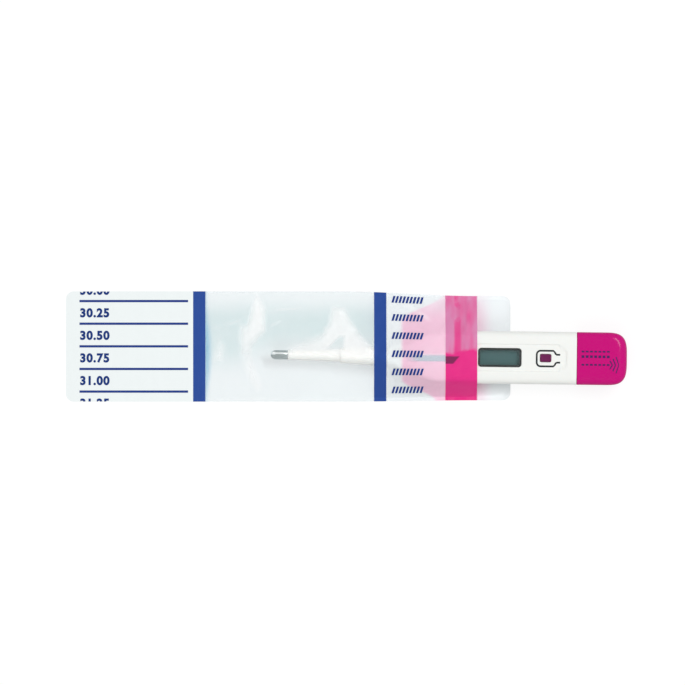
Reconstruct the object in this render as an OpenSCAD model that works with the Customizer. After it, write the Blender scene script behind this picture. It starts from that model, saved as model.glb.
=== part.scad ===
// Digital clinical thermometer lying in its disposable film sheath.
// It lies on its back along X: sensor tip towards -X, battery cap towards +X, display facing +Z.
// A station is a distance along X from the sensor tip. Heights are above the body's underside.

/* [Body] */
// Overall length, sensor tip to battery cap
thermometer_length = 127; // [115:0.5:140]
// Width of the body
body_width = 18.8; // [18.2:0.2:22]
// Height of the body
body_height = 10.6; // [10.2:0.2:13]
// Squareness of the body's cross-section, where 2 is an ellipse
body_square = 5; // [4:0.5:7]
// Wall of the housing
wall = 1.3; // [1.1:0.1:1.5]
// Depth that the underside is cut flat
underside_flat = 0.1; // [0.05:0.05:0.3]

/* [Probe] */
// Height of the probe's axis
probe_axis = 5; // [4.5:0.1:6]
// Diameter of the metal tip
tip_d = 3.3; // [3:0.1:3.6]
// Length of the metal tip
tip_length = 6.1; // [5:0.1:8]
// Length of the rounded nose of the metal tip
tip_nose = 1.9; // [1.2:0.1:2.4]
// Wall of the metal tip
tip_wall = 0.2; // [0.15:0.05:0.3]
// Length of the probe tube that the metal tip is glued over
tip_lap = 3; // [2:0.1:3.2]
// Length of the slim probe behind the metal tip
probe_length = 18.5; // [14:0.5:22]
// Diameter of the slim probe at its shoulder
probe_d = 4.4; // [3.7:0.1:4.8]
// Diameter of the neck at the shoulder
neck_d = 5.4; // [4.5:0.1:6]
// Diameter of the neck where it starts to flare
neck_end_d = 6.9; // [5.6:0.1:7.4]
// Length of the neck
neck_length = 12.5; // [9:0.5:15]
// Length of the flare from the neck to the body
flare_length = 23; // [18:0.5:26]
// Bore of the probe for the sensor leads
lead_bore = 1.8; // [1.6:0.1:2]
// Wide end of the funnel that leads the sensor leads into the bore
lead_funnel = 6.4; // [4:0.1:6.6]
// Diameter of the sensor bead
bead_d = 1.1; // [0.8:0.1:1.3]
// Diameter of a sensor lead
lead_d = 0.3; // [0.2:0.05:0.35]
// Sideways slack of the sensor leads
lead_slack = 0.9; // [0.4:0.1:1.2]

/* [Display] */
// Width of the sunk face panel
panel_width = 9.6; // [9:0.2:11]
// Depth of the sunk face panel
panel_depth = 0.35; // [0.2:0.05:0.5]
// Length of the panel's cut corners
panel_corner = 2.9; // [1.5:0.1:3.5]
// Width of the panel's cut corners
panel_chamfer = 2.4; // [1.5:0.1:3]
// Distance from the panel's front end to the window
panel_front = 7; // [5:0.5:9]
// Distance from the panel's rear end to the cap joint
panel_back = 3.6; // [2.5:0.1:5]
// Length of the window
window_length = 15.4; // [14:0.1:17]
// Width of the window
window_width = 6.7; // [6:0.1:8]
// Corner radius of the window
window_radius = 1.1; // [0.6:0.1:2]
// Distance from the window's centre to the cap joint
window_setback = 27.4; // [26:0.1:29]
// Thickness of the window lens
lens_thickness = 0.8; // [0.5:0.1:0.9]
// Width of the ledge under the lens
lens_ledge = 0.7; // [0.5:0.1:1]
// Thickness of the black frame under the lens
gasket_thickness = 0.15; // [0.1:0.05:0.2]
// Thickness of the display glass
lcd_thickness = 1.6; // [1.2:0.1:1.8]
// Rim of the display glass beyond the window
lcd_rim = 0.9; // [0.6:0.1:1]
// Gap from the display glass to the housing's ceiling
lcd_gap = 1.35; // [1.3:0.05:1.5]

/* [Button] */
// Length of the button
button_length = 3.8; // [3.4:0.1:4.6]
// Width of the button
button_width = 2.7; // [2.4:0.1:3.6]
// Corner radius of the button
button_corner = 0.4; // [0.2:0.1:0.8]
// Travel of the button
button_travel = 0.5; // [0.3:0.05:0.5]
// Height of the button above the panel
button_proud = 0.25; // [0.1:0.05:0.5]
// Thickness of the button's flange
button_flange = 0.4; // [0.3:0.05:0.45]
// Width of the button's flange
button_lip = 0.7; // [0.5:0.1:1]
// Thickness of the button's seal
button_seal_thickness = 0.3; // [0.2:0.05:0.35]
// Distance from the button's centre to the cap joint
button_setback = 11.1; // [10.5:0.05:11.5]

/* [Battery cap] */
// Length of the battery cap
cap_length = 18; // [17:0.5:20]
// Length of the cap's rounded end
cap_round = 8.5; // [4:0.1:10]
// Bluntness of the cap's rounded end
cap_blunt = 3.6; // [2.2:0.1:4.5]
// Thickness of the cap's end wall
cap_end_wall = 3.4; // [3:0.1:4]
// Length of the plug that the cap pushes into the housing
plug_length = 5; // [4:0.1:5.5]
// Wall of the plug
plug_wall = 1; // [0.8:0.1:1.1]
// Width of the groove for the seal ring
seal_width = 1.2; // [0.8:0.1:1.4]
// Distance from the plug's end to its groove
groove_setback = 2; // [1.5:0.1:2.5]
// Depth of the groove for the seal ring
seal_depth = 0.5; // [0.3:0.1:0.6]

/* [Electronics] */
// Diameter of the battery
battery_d = 7.9; // [6.8:0.1:8.4]
// Height of the battery
battery_height = 3.6; // [2.1:0.1:3.6]
// Distance from the battery's centre to the cap joint
battery_reach = 6; // [5.7:0.1:6.5]
// Thickness of the circuit board
board_thickness = 0.8; // [0.6:0.1:1]
// Wall of the carriage that holds the circuit board
carriage_wall = 0.8; // [0.6:0.1:1]
// Height of the ledges under the circuit board
board_ledge = 0.4; // [0.3:0.1:0.5]
// Thickness of the battery contacts
contact_thickness = 0.25; // [0.15:0.05:0.3]
// Width of the battery contacts
contact_width = 3; // [2:0.1:3.6]
// Diameter of the buzzer disc
buzzer_d = 9.4; // [8:0.1:9.8]
// Thickness of the buzzer disc
buzzer_thickness = 0.45; // [0.3:0.05:0.6]

/* [Sheath] */
// Length of the sheath
sheath_length = 158.7; // [150:0.5:170]
// Width of the sheath laid flat
sheath_width = 39.4; // [38:0.2:46]
// Corner radius of the sheath
sheath_corner = 2.8; // [1:0.1:5]
// Thickness of one film
film = 0.2; // [0.15:0.05:0.3]
// Distance that the sheath's lip reaches along the thermometer
sheath_reach = 85.5; // [83:0.5:88]
// Length of the back film that stands out of the mouth as a lip
lip_length = 12; // [8:0.5:14]
// Length of the flat record panel at the closed end
record_length = 50; // [42:0.5:52]
// Width of the sealed edges
seal_margin = 1.5; // [1:0.1:2]
// Height that the sealed edges are lifted at the mouth
seam_lift = 3.2; // [1.5:0.1:4]
// Height that the sealed edges fall again along the lip
lip_fall = 2.6; // [1:0.1:3]
// Distance that the far edge is drawn in at the mouth
far_draw = 1.7; // [0.5:0.1:2]
// Distance that the near edge is drawn in at the mouth
near_draw = 0.5; // [0.2:0.1:1]
// Distance from the sheath's middle to the thermometer's axis
axis_offset = 3; // [1.5:0.1:3.5]
// Angle between the sheath and the thermometer
sheath_skew = 0.7; // [-1:0.1:1]

/* [Fits] */
// Gap between parts that slide on each other
slide_gap = 0.1; // [0.08:0.01:0.12]
// Gap between the carriage and its guides
carriage_gap = 0.15; // [0.1:0.01:0.2]
// Gap that glue or a snug seat leaves
glue_gap = 0.03; // [0.02:0.01:0.05]
// Gap between the film and the thermometer
film_gap = 0.25; // [0.2:0.05:0.4]

/* [Hidden] */
$fn = 48;

// How finely the skins are drawn, how far a cut runs past its face, and the least corner radius
ring_points = 48;
cut_over = 0.5;
least_radius = 0.3;

// Stations along the thermometer
shoulder = tip_length + probe_length;
neck_end = shoulder + neck_length;
flare_end = neck_end + flare_length;
joint = thermometer_length - cap_length;
window_at = joint - window_setback;
button_at = joint - button_setback;
battery_at = joint + battery_reach;
panel_start = window_at - window_length / 2 - panel_front;
panel_end = joint - panel_back;

// The display's frame, and the room ahead of it for the solder pads, the board and the carriage
lcd_length = window_length + 2 * lcd_rim;
lcd_width = window_width + 2 * lcd_rim;
frame_wall = 1;
frame_half = lcd_length / 2 + glue_gap + frame_wall;
frame_end = window_at + frame_half;
pad_inset = 0.8;
board_inset = 1;
carriage_front_room = 1.2;
frame_front_room = 2 * pad_inset + board_inset + carriage_front_room;

// The housing's cavity, which starts behind the flare, or further forward where the display needs it
section_inset = 0.2;
cavity_round = 1;
cavity_half = body_width / 2 - wall - section_inset;
cavity_floor = wall;
panel_floor = body_height - panel_depth;
ceiling = panel_floor - wall;
cavity_start = min(flare_end + wall / 2, window_at - frame_half - frame_front_room);
gasket_bottom = panel_floor - lens_thickness - gasket_thickness;

// The battery cap's plug
plug_half = cavity_half - slide_gap;
plug_floor = cavity_floor + slide_gap;
plug_ceiling = ceiling - slide_gap;
plug_start = joint - plug_length;

// The stack of the electronics, from the floor up
runner_floor = cavity_floor + carriage_gap;
carriage_floor = plug_floor + plug_wall + carriage_gap;
carriage_deck = carriage_floor + carriage_wall;
board_bottom = carriage_deck + board_ledge;
board_top = board_bottom + board_thickness;
lcd_top = ceiling - lcd_gap;
lcd_bottom = lcd_top - lcd_thickness;
button_bottom = ceiling - button_seal_thickness - button_flange;
switch_top = button_bottom - button_travel - slide_gap;
battery_bottom = carriage_deck + contact_thickness;
battery_top = battery_bottom + battery_height;

// The carriage's plan
carriage_half = cavity_half - 3 * carriage_gap;
carriage_start = cavity_start + carriage_front_room;
carriage_narrows = plug_start - 4 * carriage_gap;
chamber_r = battery_d / 2 + carriage_gap;
chamber_wall_r = chamber_r + carriage_wall;
board_half = carriage_half - carriage_wall - slide_gap;
board_start = carriage_start + board_inset;
board_end = carriage_narrows - 2 * carriage_gap;
runner_width = 1.6;
runner_inset = 0.5;
buzzer_at = (window_at + button_at) / 2;
pad_station = board_start + pad_inset;

// The sheath's place: its middle as a station, and its reach along X on either side of it
sheath_middle = sheath_reach - sheath_length / 2;
sheath_half_x = (sheath_length / 2 - sheath_corner) * cos(sheath_skew)
    + (sheath_width / 2 - sheath_corner) * abs(sin(sheath_skew)) + sheath_corner;
sheath_left = sheath_middle - sheath_half_x;
mouth = sheath_reach - lip_length;
pocket_end = sheath_reach - sheath_length + record_length;
tent_half = 0.8;
back_rise = 2.35;

// Rows of the films: round the corners, over the record panel, up the pocket and along the flare
corner_steps = 4;
corner_rows = [for (i = [0:corner_steps]) sheath_corner * (1 - cos(90 * i / corner_steps))];
closed_rows = [for (d = corner_rows) d - sheath_length / 2];
lip_rows = [for (i = [corner_steps:-1:0]) sheath_length / 2 - corner_rows[i]];
pocket_steps = 3;
flare_steps = 12;
inner_stations = concat([for (i = [0:pocket_steps]) pocket_end * (1 - i / pocket_steps)],
    [tip_length, shoulder - cut_over, shoulder],
    [for (i = [0:flare_steps]) neck_end + flare_length * i / flare_steps], [mouth]);
shared_rows = concat(closed_rows, [for (s = inner_stations) s - sheath_middle]);

// The origin is under the middle of the whole
sheath_far = max([for (u = shared_rows) across_x(u, far_edge(u, sheath_middle + u))]);
sheath_near = min([for (u = shared_rows) across_x(u, near_edge(u, sheath_middle + u))]);
sheath_centre = (sheath_far + sheath_near) / 2;
lie_gap = slide_gap;
lie_height = film + lie_gap;
tip_x = -(sheath_left + thermometer_length) / 2;

// Shape functions of the thermometer
function smooth(t) = let (c = max(0, min(1, t))) c * c * (3 - 2 * c);
function blend(a, b, t) = a + (b - a) * max(0, min(1, t));
function flare(s) = smooth((s - neck_end) / flare_length);
function neck_radius(s) = blend(neck_d, neck_end_d, (s - shoulder) / neck_length) / 2;
function half_width(s) = blend(neck_radius(s), body_width / 2, flare(s));
function section_top(s) = blend(probe_axis + neck_radius(s), body_height, flare(s));
function section_bottom(s) = blend(probe_axis - neck_radius(s), -underside_flat, flare(s));
function section_square(s) = blend(2, body_square, flare(s));
function cap_share(s) = let (t = max(0, (s - thermometer_length + cap_round) / cap_round))
    pow(max(0, 1 - pow(t, cap_blunt)), 1 / cap_blunt);
// Highest half-width and top of the thermometer from its tip up to a station
function probe_reach(s) = s < tip_length ? tip_d / 2
    : s < shoulder ? blend(tip_d, probe_d, (s - tip_length) / probe_length) / 2 : half_width(s);
function probe_top(s) = s < shoulder ? probe_axis + probe_reach(s) : section_top(s);

// A superellipse in the YZ plane at station s, as a ring of points
function section_ring(s, half_y, bottom, top, square) = [
    for (i = [0:ring_points - 1])
        let (c = cos(360 * i / ring_points), d = sin(360 * i / ring_points))
        [s, half_y * sign(c) * pow(abs(c), 2 / square),
            (bottom + top) / 2 + (top - bottom) / 2 * sign(d) * pow(abs(d), 2 / square)]
];

// The corner arcs of a rectangle, as one closed outline
function rounded_rect(x0, x1, y0, y1, r, steps = 6) = [
    for (corner = [[x1 - r, y1 - r, 0], [x0 + r, y1 - r, 90], [x0 + r, y0 + r, 180], [x1 - r, y0 + r, 270]])
        for (i = [0:steps])
            [corner[0] + r * cos(corner[2] + 90 * i / steps), corner[1] + r * sin(corner[2] + 90 * i / steps)]
];

// A solid skinned over rings of equal count, each further along than the last
module skin(rings) {
    count = len(rings[0]);
    last = len(rings) - 1;
    sides = [
        for (k = [0:last - 1])
            for (i = [0:count - 1])
                let (j = (i + 1) % count, a = k * count + i, b = k * count + j)
                each [[a, b, b + count], [a, b + count, a + count]]
    ];
    ends = [[for (i = [count - 1:-1:0]) i], [for (i = [0:count - 1]) last * count + i]];
    points = [for (ring = rings) each ring];
    polyhedron(points, [for (face = concat(sides, ends)) reversed(face)], convexity = 6);
}

// A thin solid between a grid of points and the same grid raised by a height
module raised_sheet(grid, height) {
    rows = len(grid);
    columns = len(grid[0]);
    under = rows * columns;
    lower = [for (row = grid) each row];
    upper = [for (point = lower) point + [0, 0, height]];
    decks = [
        for (i = [0:rows - 2])
            for (j = [0:columns - 2])
                let (a = i * columns + j, b = a + columns)
                each [[a, b + 1, b], [a, a + 1, b + 1],
                    [under + a, under + b, under + b + 1], [under + a, under + b + 1, under + a + 1]]
    ];
    rim = concat([for (i = [0:rows - 1]) i * columns], [for (j = [1:columns - 1]) (rows - 1) * columns + j],
        [for (i = [rows - 2:-1:0]) i * columns + columns - 1], [for (j = [columns - 2:-1:1]) j]);
    walls = [
        for (k = [0:len(rim) - 1])
            let (a = rim[k], b = rim[(k + 1) % len(rim)])
            each [[a, b, under + b], [a, under + b, under + a]]
    ];
    polyhedron(concat(lower, upper), [for (face = concat(decks, walls)) reversed(face)], convexity = 8);
}

// Places a part that is drawn by its stations and heights
module thermometer_place() {
    translate([tip_x, -axis_offset * cos(sheath_skew) - sheath_centre, lie_height]) children();
}

// Extrudes an outline of Y and Z from one station to another
module between(start, end) {
    translate([start, 0, 0]) rotate([90, 0, 90]) linear_extrude(end - start) children();
}

// A flat block on the thermometer's middle line
module slab(start, end, half_y, bottom, top) {
    translate([start, -half_y, bottom]) cube([end - start, 2 * half_y, top - bottom]);
}

// A plate with rounded corners in plan, grown by a margin on each side
module rounded_plate(at, length, width, radius, margin, bottom, top) {
    half_x = length / 2 + margin;
    half_y = width / 2 + margin;
    translate([at, 0, bottom])
        linear_extrude(top - bottom)
            polygon(rounded_rect(-half_x, half_x, -half_y, half_y, max(least_radius, radius + margin)));
}

module window_plate(margin, bottom, top) {
    rounded_plate(window_at, window_length, window_width, window_radius, margin, bottom, top);
}

module button_plate(margin, bottom, top) {
    rounded_plate(button_at, button_length, button_width, button_corner, margin, bottom, top);
}

// A shape turned about the probe's axis, from an outline of station and radius
module about_probe(outline) {
    translate([0, 0, probe_axis]) rotate([0, 90, 0])
        rotate_extrude() polygon([for (p = outline) [p[1], p[0]]]);
}

function reversed(list) = [for (i = [len(list) - 1:-1:0]) list[i]];

// Points of the tip's nose, as stations and radii, for a nose that starts at a station
function nose_points(start, length, radius, steps = 8) = [
    for (i = [0:steps]) [start + length * (1 - cos(90 * i / steps)), radius * sin(90 * i / steps)]
];

// The housing: one moulding with body, flare, neck and probe tube
module housing_outside() {
    body_rings = 14;
    neck_rings = 4;
    stations = concat(
        [for (i = [0:neck_rings - 1]) shoulder + neck_length * i / neck_rings],
        [for (i = [0:body_rings]) neck_end + flare_length * i / body_rings],
        [joint]
    );
    spigot_start = tip_length - tip_lap;
    spigot_end = tip_length + glue_gap;
    spigot_r = tip_d / 2 - tip_wall - glue_gap;
    tube_end = shoulder + cut_over;
    intersection() {
        skin([for (s = stations)
            section_ring(s, half_width(s), section_bottom(s), section_top(s), section_square(s))]);
        slab(0, thermometer_length, body_width, 0, 2 * body_height);
    }
    about_probe([[spigot_start, 0], [spigot_start, spigot_r], [spigot_end, spigot_r], [spigot_end, tip_d / 2],
        [shoulder, probe_d / 2], [tube_end, probe_d / 2], [tube_end, 0]]);
}

// The sunk face panel, a long outline with cut corners
module panel_outline() {
    half = panel_width / 2;
    inner_half = half - panel_chamfer;
    start = panel_start + panel_corner;
    end = panel_end - panel_corner;
    polygon([[panel_start, -inner_half], [start, -half], [end, -half], [panel_end, -inner_half],
        [panel_end, inner_half], [end, half], [start, half], [panel_start, inner_half]]);
}

module cavity_section() {
    polygon(rounded_rect(-cavity_half, cavity_half, cavity_floor, ceiling, cavity_round));
}

module housing() color("whitesmoke") thermometer_place() difference() {
    cone_end = cavity_start + cut_over;
    housing_outside();
    between(cavity_start, joint + wall) cavity_section();
    about_probe([[neck_end, 0], [neck_end, lead_bore / 2], [cone_end, lead_funnel / 2], [cone_end, 0]]);
    translate([0, 0, probe_axis]) rotate([0, 90, 0]) cylinder(d = lead_bore, h = neck_end + cut_over);
    translate([0, 0, panel_floor]) linear_extrude(body_height) panel_outline();
    window_plate(slide_gap, gasket_bottom, body_height);
    window_plate(-lens_ledge, probe_axis, body_height);
    button_plate(slide_gap, probe_axis, body_height);
}

// The window: a clear lens on a black glued frame, level with the panel
module window_lens() color("lightcyan", 0.4) thermometer_place()
    window_plate(0, panel_floor - lens_thickness, panel_floor);

module lens_gasket() color("black") thermometer_place() difference() {
    window_plate(0, gasket_bottom, gasket_bottom + gasket_thickness);
    window_plate(-lens_ledge, gasket_bottom - cut_over, gasket_bottom + cut_over);
}

// The button: a key with a flange under the ceiling, on a seal that is glued to the ceiling
module power_button() color("purple") thermometer_place() {
    button_plate(0, button_bottom, panel_floor + button_proud);
    button_plate(button_lip, button_bottom, button_bottom + button_flange);
}

module button_seal() color("dimgray") thermometer_place() difference() {
    button_plate(button_lip, ceiling - button_seal_thickness, ceiling);
    button_plate(slide_gap, ceiling - cut_over, ceiling + cut_over);
}

// The sensor: a drawn metal tip, filled with potting round the bead at the end of its two leads
module sensor_tip() color("silver") thermometer_place() {
    inner_r = tip_d / 2 - tip_wall;
    about_probe(concat(nose_points(0, tip_nose, tip_d / 2), [[tip_length, tip_d / 2], [tip_length, inner_r]],
        reversed(nose_points(tip_wall, tip_nose, inner_r))));
}

bead_at = tip_wall + tip_nose;
potting_end = tip_length - tip_lap - glue_gap;

module tip_potting() color("darkslategray") thermometer_place() difference() {
    potting_r = tip_d / 2 - tip_wall - glue_gap;
    nose = nose_points(tip_wall + glue_gap, tip_nose, potting_r);
    about_probe(concat(nose, [[potting_end, potting_r], [potting_end, 0]]));
    translate([bead_at, 0, probe_axis]) sphere(d = bead_d + 2 * glue_gap);
    lead_pair() lead_hole();
}

lead_spacing = 0.2;
lead_half_gap = (lead_d + lead_spacing) / 2;

// Repeats a part for both leads
module lead_pair() {
    for (side = [-1, 1]) translate([0, side * lead_half_gap, 0]) children();
}

module lead_hole() {
    translate([bead_at, 0, probe_axis]) rotate([0, 90, 0])
        cylinder(d = lead_d + 2 * glue_gap, h = tip_length);
}

module thermistor() color("saddlebrown") thermometer_place()
    translate([bead_at, 0, probe_axis]) sphere(d = bead_d);

// A lead's path: straight along the probe, a slack wave in the funnel, down to its solder pad
lead_start = bead_at + bead_d / 2 + glue_gap;
lead_steps = 16;
lead_sides = 6;
slack_end = cavity_start - wall / 2;
slack_start = (neck_end + slack_end) / 2;
pad_height = board_top + lead_d / 2 + glue_gap;
function lead_point(s, side) = let (
        wave = max(0, min(1, (s - slack_start) / (slack_end - slack_start))),
        sway = lead_slack * (1 - cos(360 * wave)) / 2,
        drop = (s - slack_end) / (board_start - slack_end)
    )
    [s, side * lead_half_gap + sway, blend(probe_axis, pad_height, drop)];
lead_stations = concat([lead_start],
    [for (i = [0:lead_steps]) blend(slack_start, slack_end, i / lead_steps)], [board_start, pad_station]);

module lead_wires() color("firebrick") thermometer_place() for (side = [-1, 1])
    skin([for (s = lead_stations)
        [for (k = [0:lead_sides - 1])
            lead_point(s, side) + lead_d / 2 * [0, cos(360 * k / lead_sides), sin(360 * k / lead_sides)]]]);

// The carriage: a tray on two runners, with the board on ledges and the battery in a round chamber behind
module carriage() color("gainsboro") thermometer_place() difference() {
    rail_top = board_top + board_ledge;
    chamber_share = 0.7;
    chamber_top = battery_bottom + chamber_share * battery_height;
    pin_gap = slide_gap;
    union() {
        slab(carriage_start, carriage_narrows, carriage_half, carriage_floor, carriage_deck);
        slab(carriage_narrows, battery_at, chamber_wall_r, carriage_floor, carriage_deck);
        translate([battery_at, 0, carriage_floor])
            cylinder(r = chamber_wall_r, h = chamber_top - carriage_floor);
        for (side = [0, 1]) mirror([0, side, 0]) {
            translate([carriage_start, carriage_half - carriage_wall, carriage_floor])
                cube([carriage_narrows - carriage_start, carriage_wall, rail_top - carriage_floor]);
            translate([carriage_start, carriage_half - 2 * carriage_wall, carriage_deck])
                cube([carriage_narrows - carriage_start, carriage_wall, board_ledge]);
            translate([carriage_start, carriage_half - runner_inset - runner_width, runner_floor])
                cube([carriage_narrows - carriage_start, runner_width, carriage_floor - runner_floor]);
        }
    }
    translate([battery_at, 0, carriage_deck]) cylinder(r = chamber_r, h = body_height);
    slab(carriage_narrows, battery_at, contact_width / 2 + carriage_gap, carriage_deck, body_height);
    for (pin = buzzer_pins) translate([pin, 0, 0]) cylinder(d = buzzer_pin_d + 2 * pin_gap, h = body_height);
}

module circuit_board() color("seagreen") thermometer_place()
    slab(board_start, board_end, board_half, board_bottom, board_top);

module controller_chip() color("black") thermometer_place() {
    blob_r = 2.4;
    blob_height = min(0.9, (lcd_bottom - board_top) * 0.6);
    ball_r = (blob_r * blob_r + blob_height * blob_height) / (2 * blob_height);
    intersection() {
        translate([window_at, 0, board_top + blob_height - ball_r]) sphere(r = ball_r, $fn = 96);
        translate([window_at, 0, board_top]) cylinder(r = ball_r, h = ball_r);
    }
}

module passive_components() color("tan") thermometer_place() {
    part_length = 1.2;
    part_width = 0.7;
    part_height = 0.5;
    pitch = 1.8;
    row_pitch = 2;
    first = frame_end + slide_gap;
    for (column = [0:1]) for (row = [-2:2])
        translate([first + column * pitch, row * row_pitch - part_width / 2, board_top])
            cube([part_length, part_width, part_height]);
}

module button_switch() color("dimgray") thermometer_place() {
    base = 4.4;
    plunger_d = 2.2;
    plunger_height = 0.7;
    slab(button_at - base / 2, button_at + base / 2, base / 2, board_top, switch_top - plunger_height);
    translate([button_at, 0, board_top]) cylinder(d = plunger_d, h = switch_top - board_top);
}

// The display: glass on two conductive rubber strips, in a frame on the board
module lcd_glass() color("cadetblue") thermometer_place()
    slab(window_at - lcd_length / 2, window_at + lcd_length / 2, lcd_width / 2, lcd_bottom, lcd_top);

zebra_width = 1.2;
zebra_y = lcd_width / 2 - zebra_width;

module zebra_strips() color("darkgray") thermometer_place() for (side = [0, 1]) mirror([0, side, 0])
    translate([window_at - lcd_length / 2 + lcd_rim, zebra_y, board_top])
        cube([lcd_length - 2 * lcd_rim, zebra_width, lcd_bottom - board_top]);

module lcd_reflector() color("silver") thermometer_place() {
    reflector_thickness = 0.15;
    slab(window_at - window_length / 2, window_at + window_length / 2, zebra_y - slide_gap,
        lcd_bottom - reflector_thickness, lcd_bottom);
}

module lcd_frame() color("white") thermometer_place() difference() {
    inner = frame_half - frame_wall;
    slab(window_at - frame_half, frame_end, lcd_width / 2 + glue_gap + frame_wall, board_top, lcd_top);
    slab(window_at - inner, window_at + inner, lcd_width / 2 + glue_gap,
        board_top - cut_over, lcd_top + cut_over);
}

// The buzzer: a disc glued under the carriage, joined to the board by two pins
buzzer_pin_d = 0.8;
buzzer_pins = [buzzer_at - buzzer_d / 4, buzzer_at + buzzer_d / 4];

module buzzer_disc() color("goldenrod") thermometer_place()
    translate([buzzer_at, 0, carriage_floor - buzzer_thickness]) cylinder(d = buzzer_d, h = buzzer_thickness);

module buzzer_contacts() color("gold") thermometer_place() for (pin = buzzer_pins)
    translate([pin, 0, carriage_floor]) cylinder(d = buzzer_pin_d, h = board_bottom - carriage_floor);

// The battery and its two bent contact strips
module battery() color("silver") thermometer_place() {
    rim = 0.35;
    rim_height = 0.6;
    can_height = battery_height - rim_height;
    translate([battery_at, 0, battery_bottom]) {
        cylinder(d = battery_d - 2 * rim, h = battery_height);
        translate([0, 0, rim_height]) cylinder(d = battery_d, h = can_height);
    }
}

// A bent strip of even height, from a list of stations and heights along its underside
module contact_strip(path) {
    translate([0, contact_width / 2, 0]) rotate([90, 0, 0]) linear_extrude(contact_width)
        polygon(concat(path, reversed([for (p = path) p + [0, contact_thickness]])));
}

contact_lap = 2.5;

module battery_contact_positive() color("gold") thermometer_place() {
    clear_of_battery = battery_at - battery_d / 2 - contact_thickness;
    contact_strip([[board_end - contact_lap, board_top], [board_end, board_top],
        [clear_of_battery, battery_top], [battery_at + contact_lap / 2, battery_top]]);
}

module battery_contact_negative() color("gold") thermometer_place() {
    under_board = board_bottom - contact_thickness;
    contact_strip([[board_end - contact_lap, under_board], [board_end, under_board],
        [board_end + contact_lap, carriage_deck], [battery_at + contact_lap / 2, carriage_deck]]);
}

// The battery cap: a hollow rounded end, with a plug and seal ring that push into the housing
module plug_section(inset) {
    polygon(rounded_rect(inset - plug_half, plug_half - inset, plug_floor + inset, plug_ceiling - inset,
        max(least_radius, cavity_round - inset)));
}

groove_at = plug_start + groove_setback;

module cap_outside() {
    round_rings = 12;
    least_share = 0.02;
    round_start = thermometer_length - cap_round;
    middle = (body_height - underside_flat) / 2;
    stations = concat([joint + slide_gap],
        [for (i = [0:round_rings]) round_start + cap_round * sin(90 * i / round_rings)]);
    intersection() {
        skin([for (s = stations) let (share = max(least_share, cap_share(s)))
            section_ring(s, share * body_width / 2, middle - share * (middle + underside_flat),
                middle + share * (body_height - middle), body_square)]);
        slab(0, 2 * thermometer_length, body_width, 0, 2 * body_height);
    }
}

module cap_plug() difference() {
    between(plug_start, joint + wall) plug_section(0);
    difference() {
        between(groove_at, groove_at + seal_width) plug_section(-wall);
        between(groove_at - wall, groove_at + seal_width + wall) plug_section(seal_depth);
    }
}

module battery_cap() color("mediumvioletred") thermometer_place() difference() {
    union() {
        cap_outside();
        cap_plug();
    }
    between(plug_start - wall, thermometer_length - cap_end_wall) plug_section(plug_wall);
}

module cap_seal_ring() color("dimgray") thermometer_place() difference() {
    stand_out = slide_gap / 2;
    between(groove_at + glue_gap, groove_at + seal_width - glue_gap) plug_section(-stand_out);
    between(groove_at - wall, groove_at + seal_width + wall) plug_section(seal_depth - glue_gap);
}

// The sheath: a front and a back film, sealed along both edges and over the record panel
function corner_inset(u) = let (into = max(0, sheath_corner - sheath_length / 2 + abs(u)))
    sheath_corner - sqrt(max(0, sheath_corner * sheath_corner - into * into));
function mouth_share(s) = smooth((s - shoulder) / (mouth - shoulder));
function far_edge(u, s) = sheath_width / 2 - corner_inset(u) - far_draw * mouth_share(s);
function near_edge(u, s) = corner_inset(u) + near_draw * mouth_share(s) - sheath_width / 2;
function seam_height(s) = seam_lift * mouth_share(s) - lip_fall * smooth((s - mouth) / lip_length);
function axis_across(u) = -axis_offset - u * tan(sheath_skew);

// Height and half-width of the front film's tent over the thermometer at a station
function tent_top(s) = s < 0
    ? blend(film, lie_height + probe_top(0) + film_gap, (s - pocket_end) / -pocket_end)
    : lie_height + probe_top(s) + film_gap;
function tent_width(s) = tent_half + probe_reach(max(0, s));

// A place along and across the sheath laid flat, measured across X
function across_x(u, v) = u * sin(sheath_skew) + v * cos(sheath_skew);

// A point of the sheath, from its place along and across the sheath laid flat
function sheath_point(u, v, z) = [
    tip_x + sheath_middle + u * cos(sheath_skew) - v * sin(sheath_skew),
    across_x(u, v) - sheath_centre,
    z
];

function front_row(u) = let (
        s = sheath_middle + u, far = far_edge(u, s), near = near_edge(u, s), axis = axis_across(u),
        half = tent_width(s), seam = seam_height(s) + film, top = max(seam, tent_top(s)),
        near_seal = near + seal_margin, far_seal = far - seal_margin, middle = (seam + top) / 2,
        across = [near, near_seal, (near_seal + axis - half) / 2, axis - half, axis, axis + half,
            (far_seal + axis + half) / 2, far_seal, far],
        heights = [seam, seam, middle, top, top, top, middle, seam, seam]
    )
    [for (j = [0:len(across) - 1]) sheath_point(u, across[j], heights[j])];

function back_row(u) = let (
        s = sheath_middle + u, far = far_edge(u, s), near = near_edge(u, s), axis = axis_across(u),
        half = body_width / 2 - back_rise, seam = seam_height(s),
        across = [near, near + seal_margin, axis - half, axis, axis + half, far - seal_margin, far],
        heights = [seam, seam, 0, 0, 0, seam, seam]
    )
    [for (j = [0:len(across) - 1]) sheath_point(u, across[j], heights[j])];

module sheath_front_film() color("lightcyan", 0.5)
    raised_sheet([for (u = shared_rows) front_row(u)], film);

module sheath_back_film() color("aliceblue", 0.5)
    raised_sheet([for (u = concat(shared_rows, lip_rows)) back_row(u)], film);

housing();
window_lens();
lens_gasket();
button_seal();
sensor_tip();
thermistor();
tip_potting();
lead_wires();
power_button();
carriage();
circuit_board();
controller_chip();
passive_components();
button_switch();
lcd_glass();
lcd_reflector();
lcd_frame();
zebra_strips();
buzzer_disc();
buzzer_contacts();
battery();
battery_contact_positive();
battery_contact_negative();
battery_cap();
cap_seal_ring();
sheath_front_film();
sheath_back_film();
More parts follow.
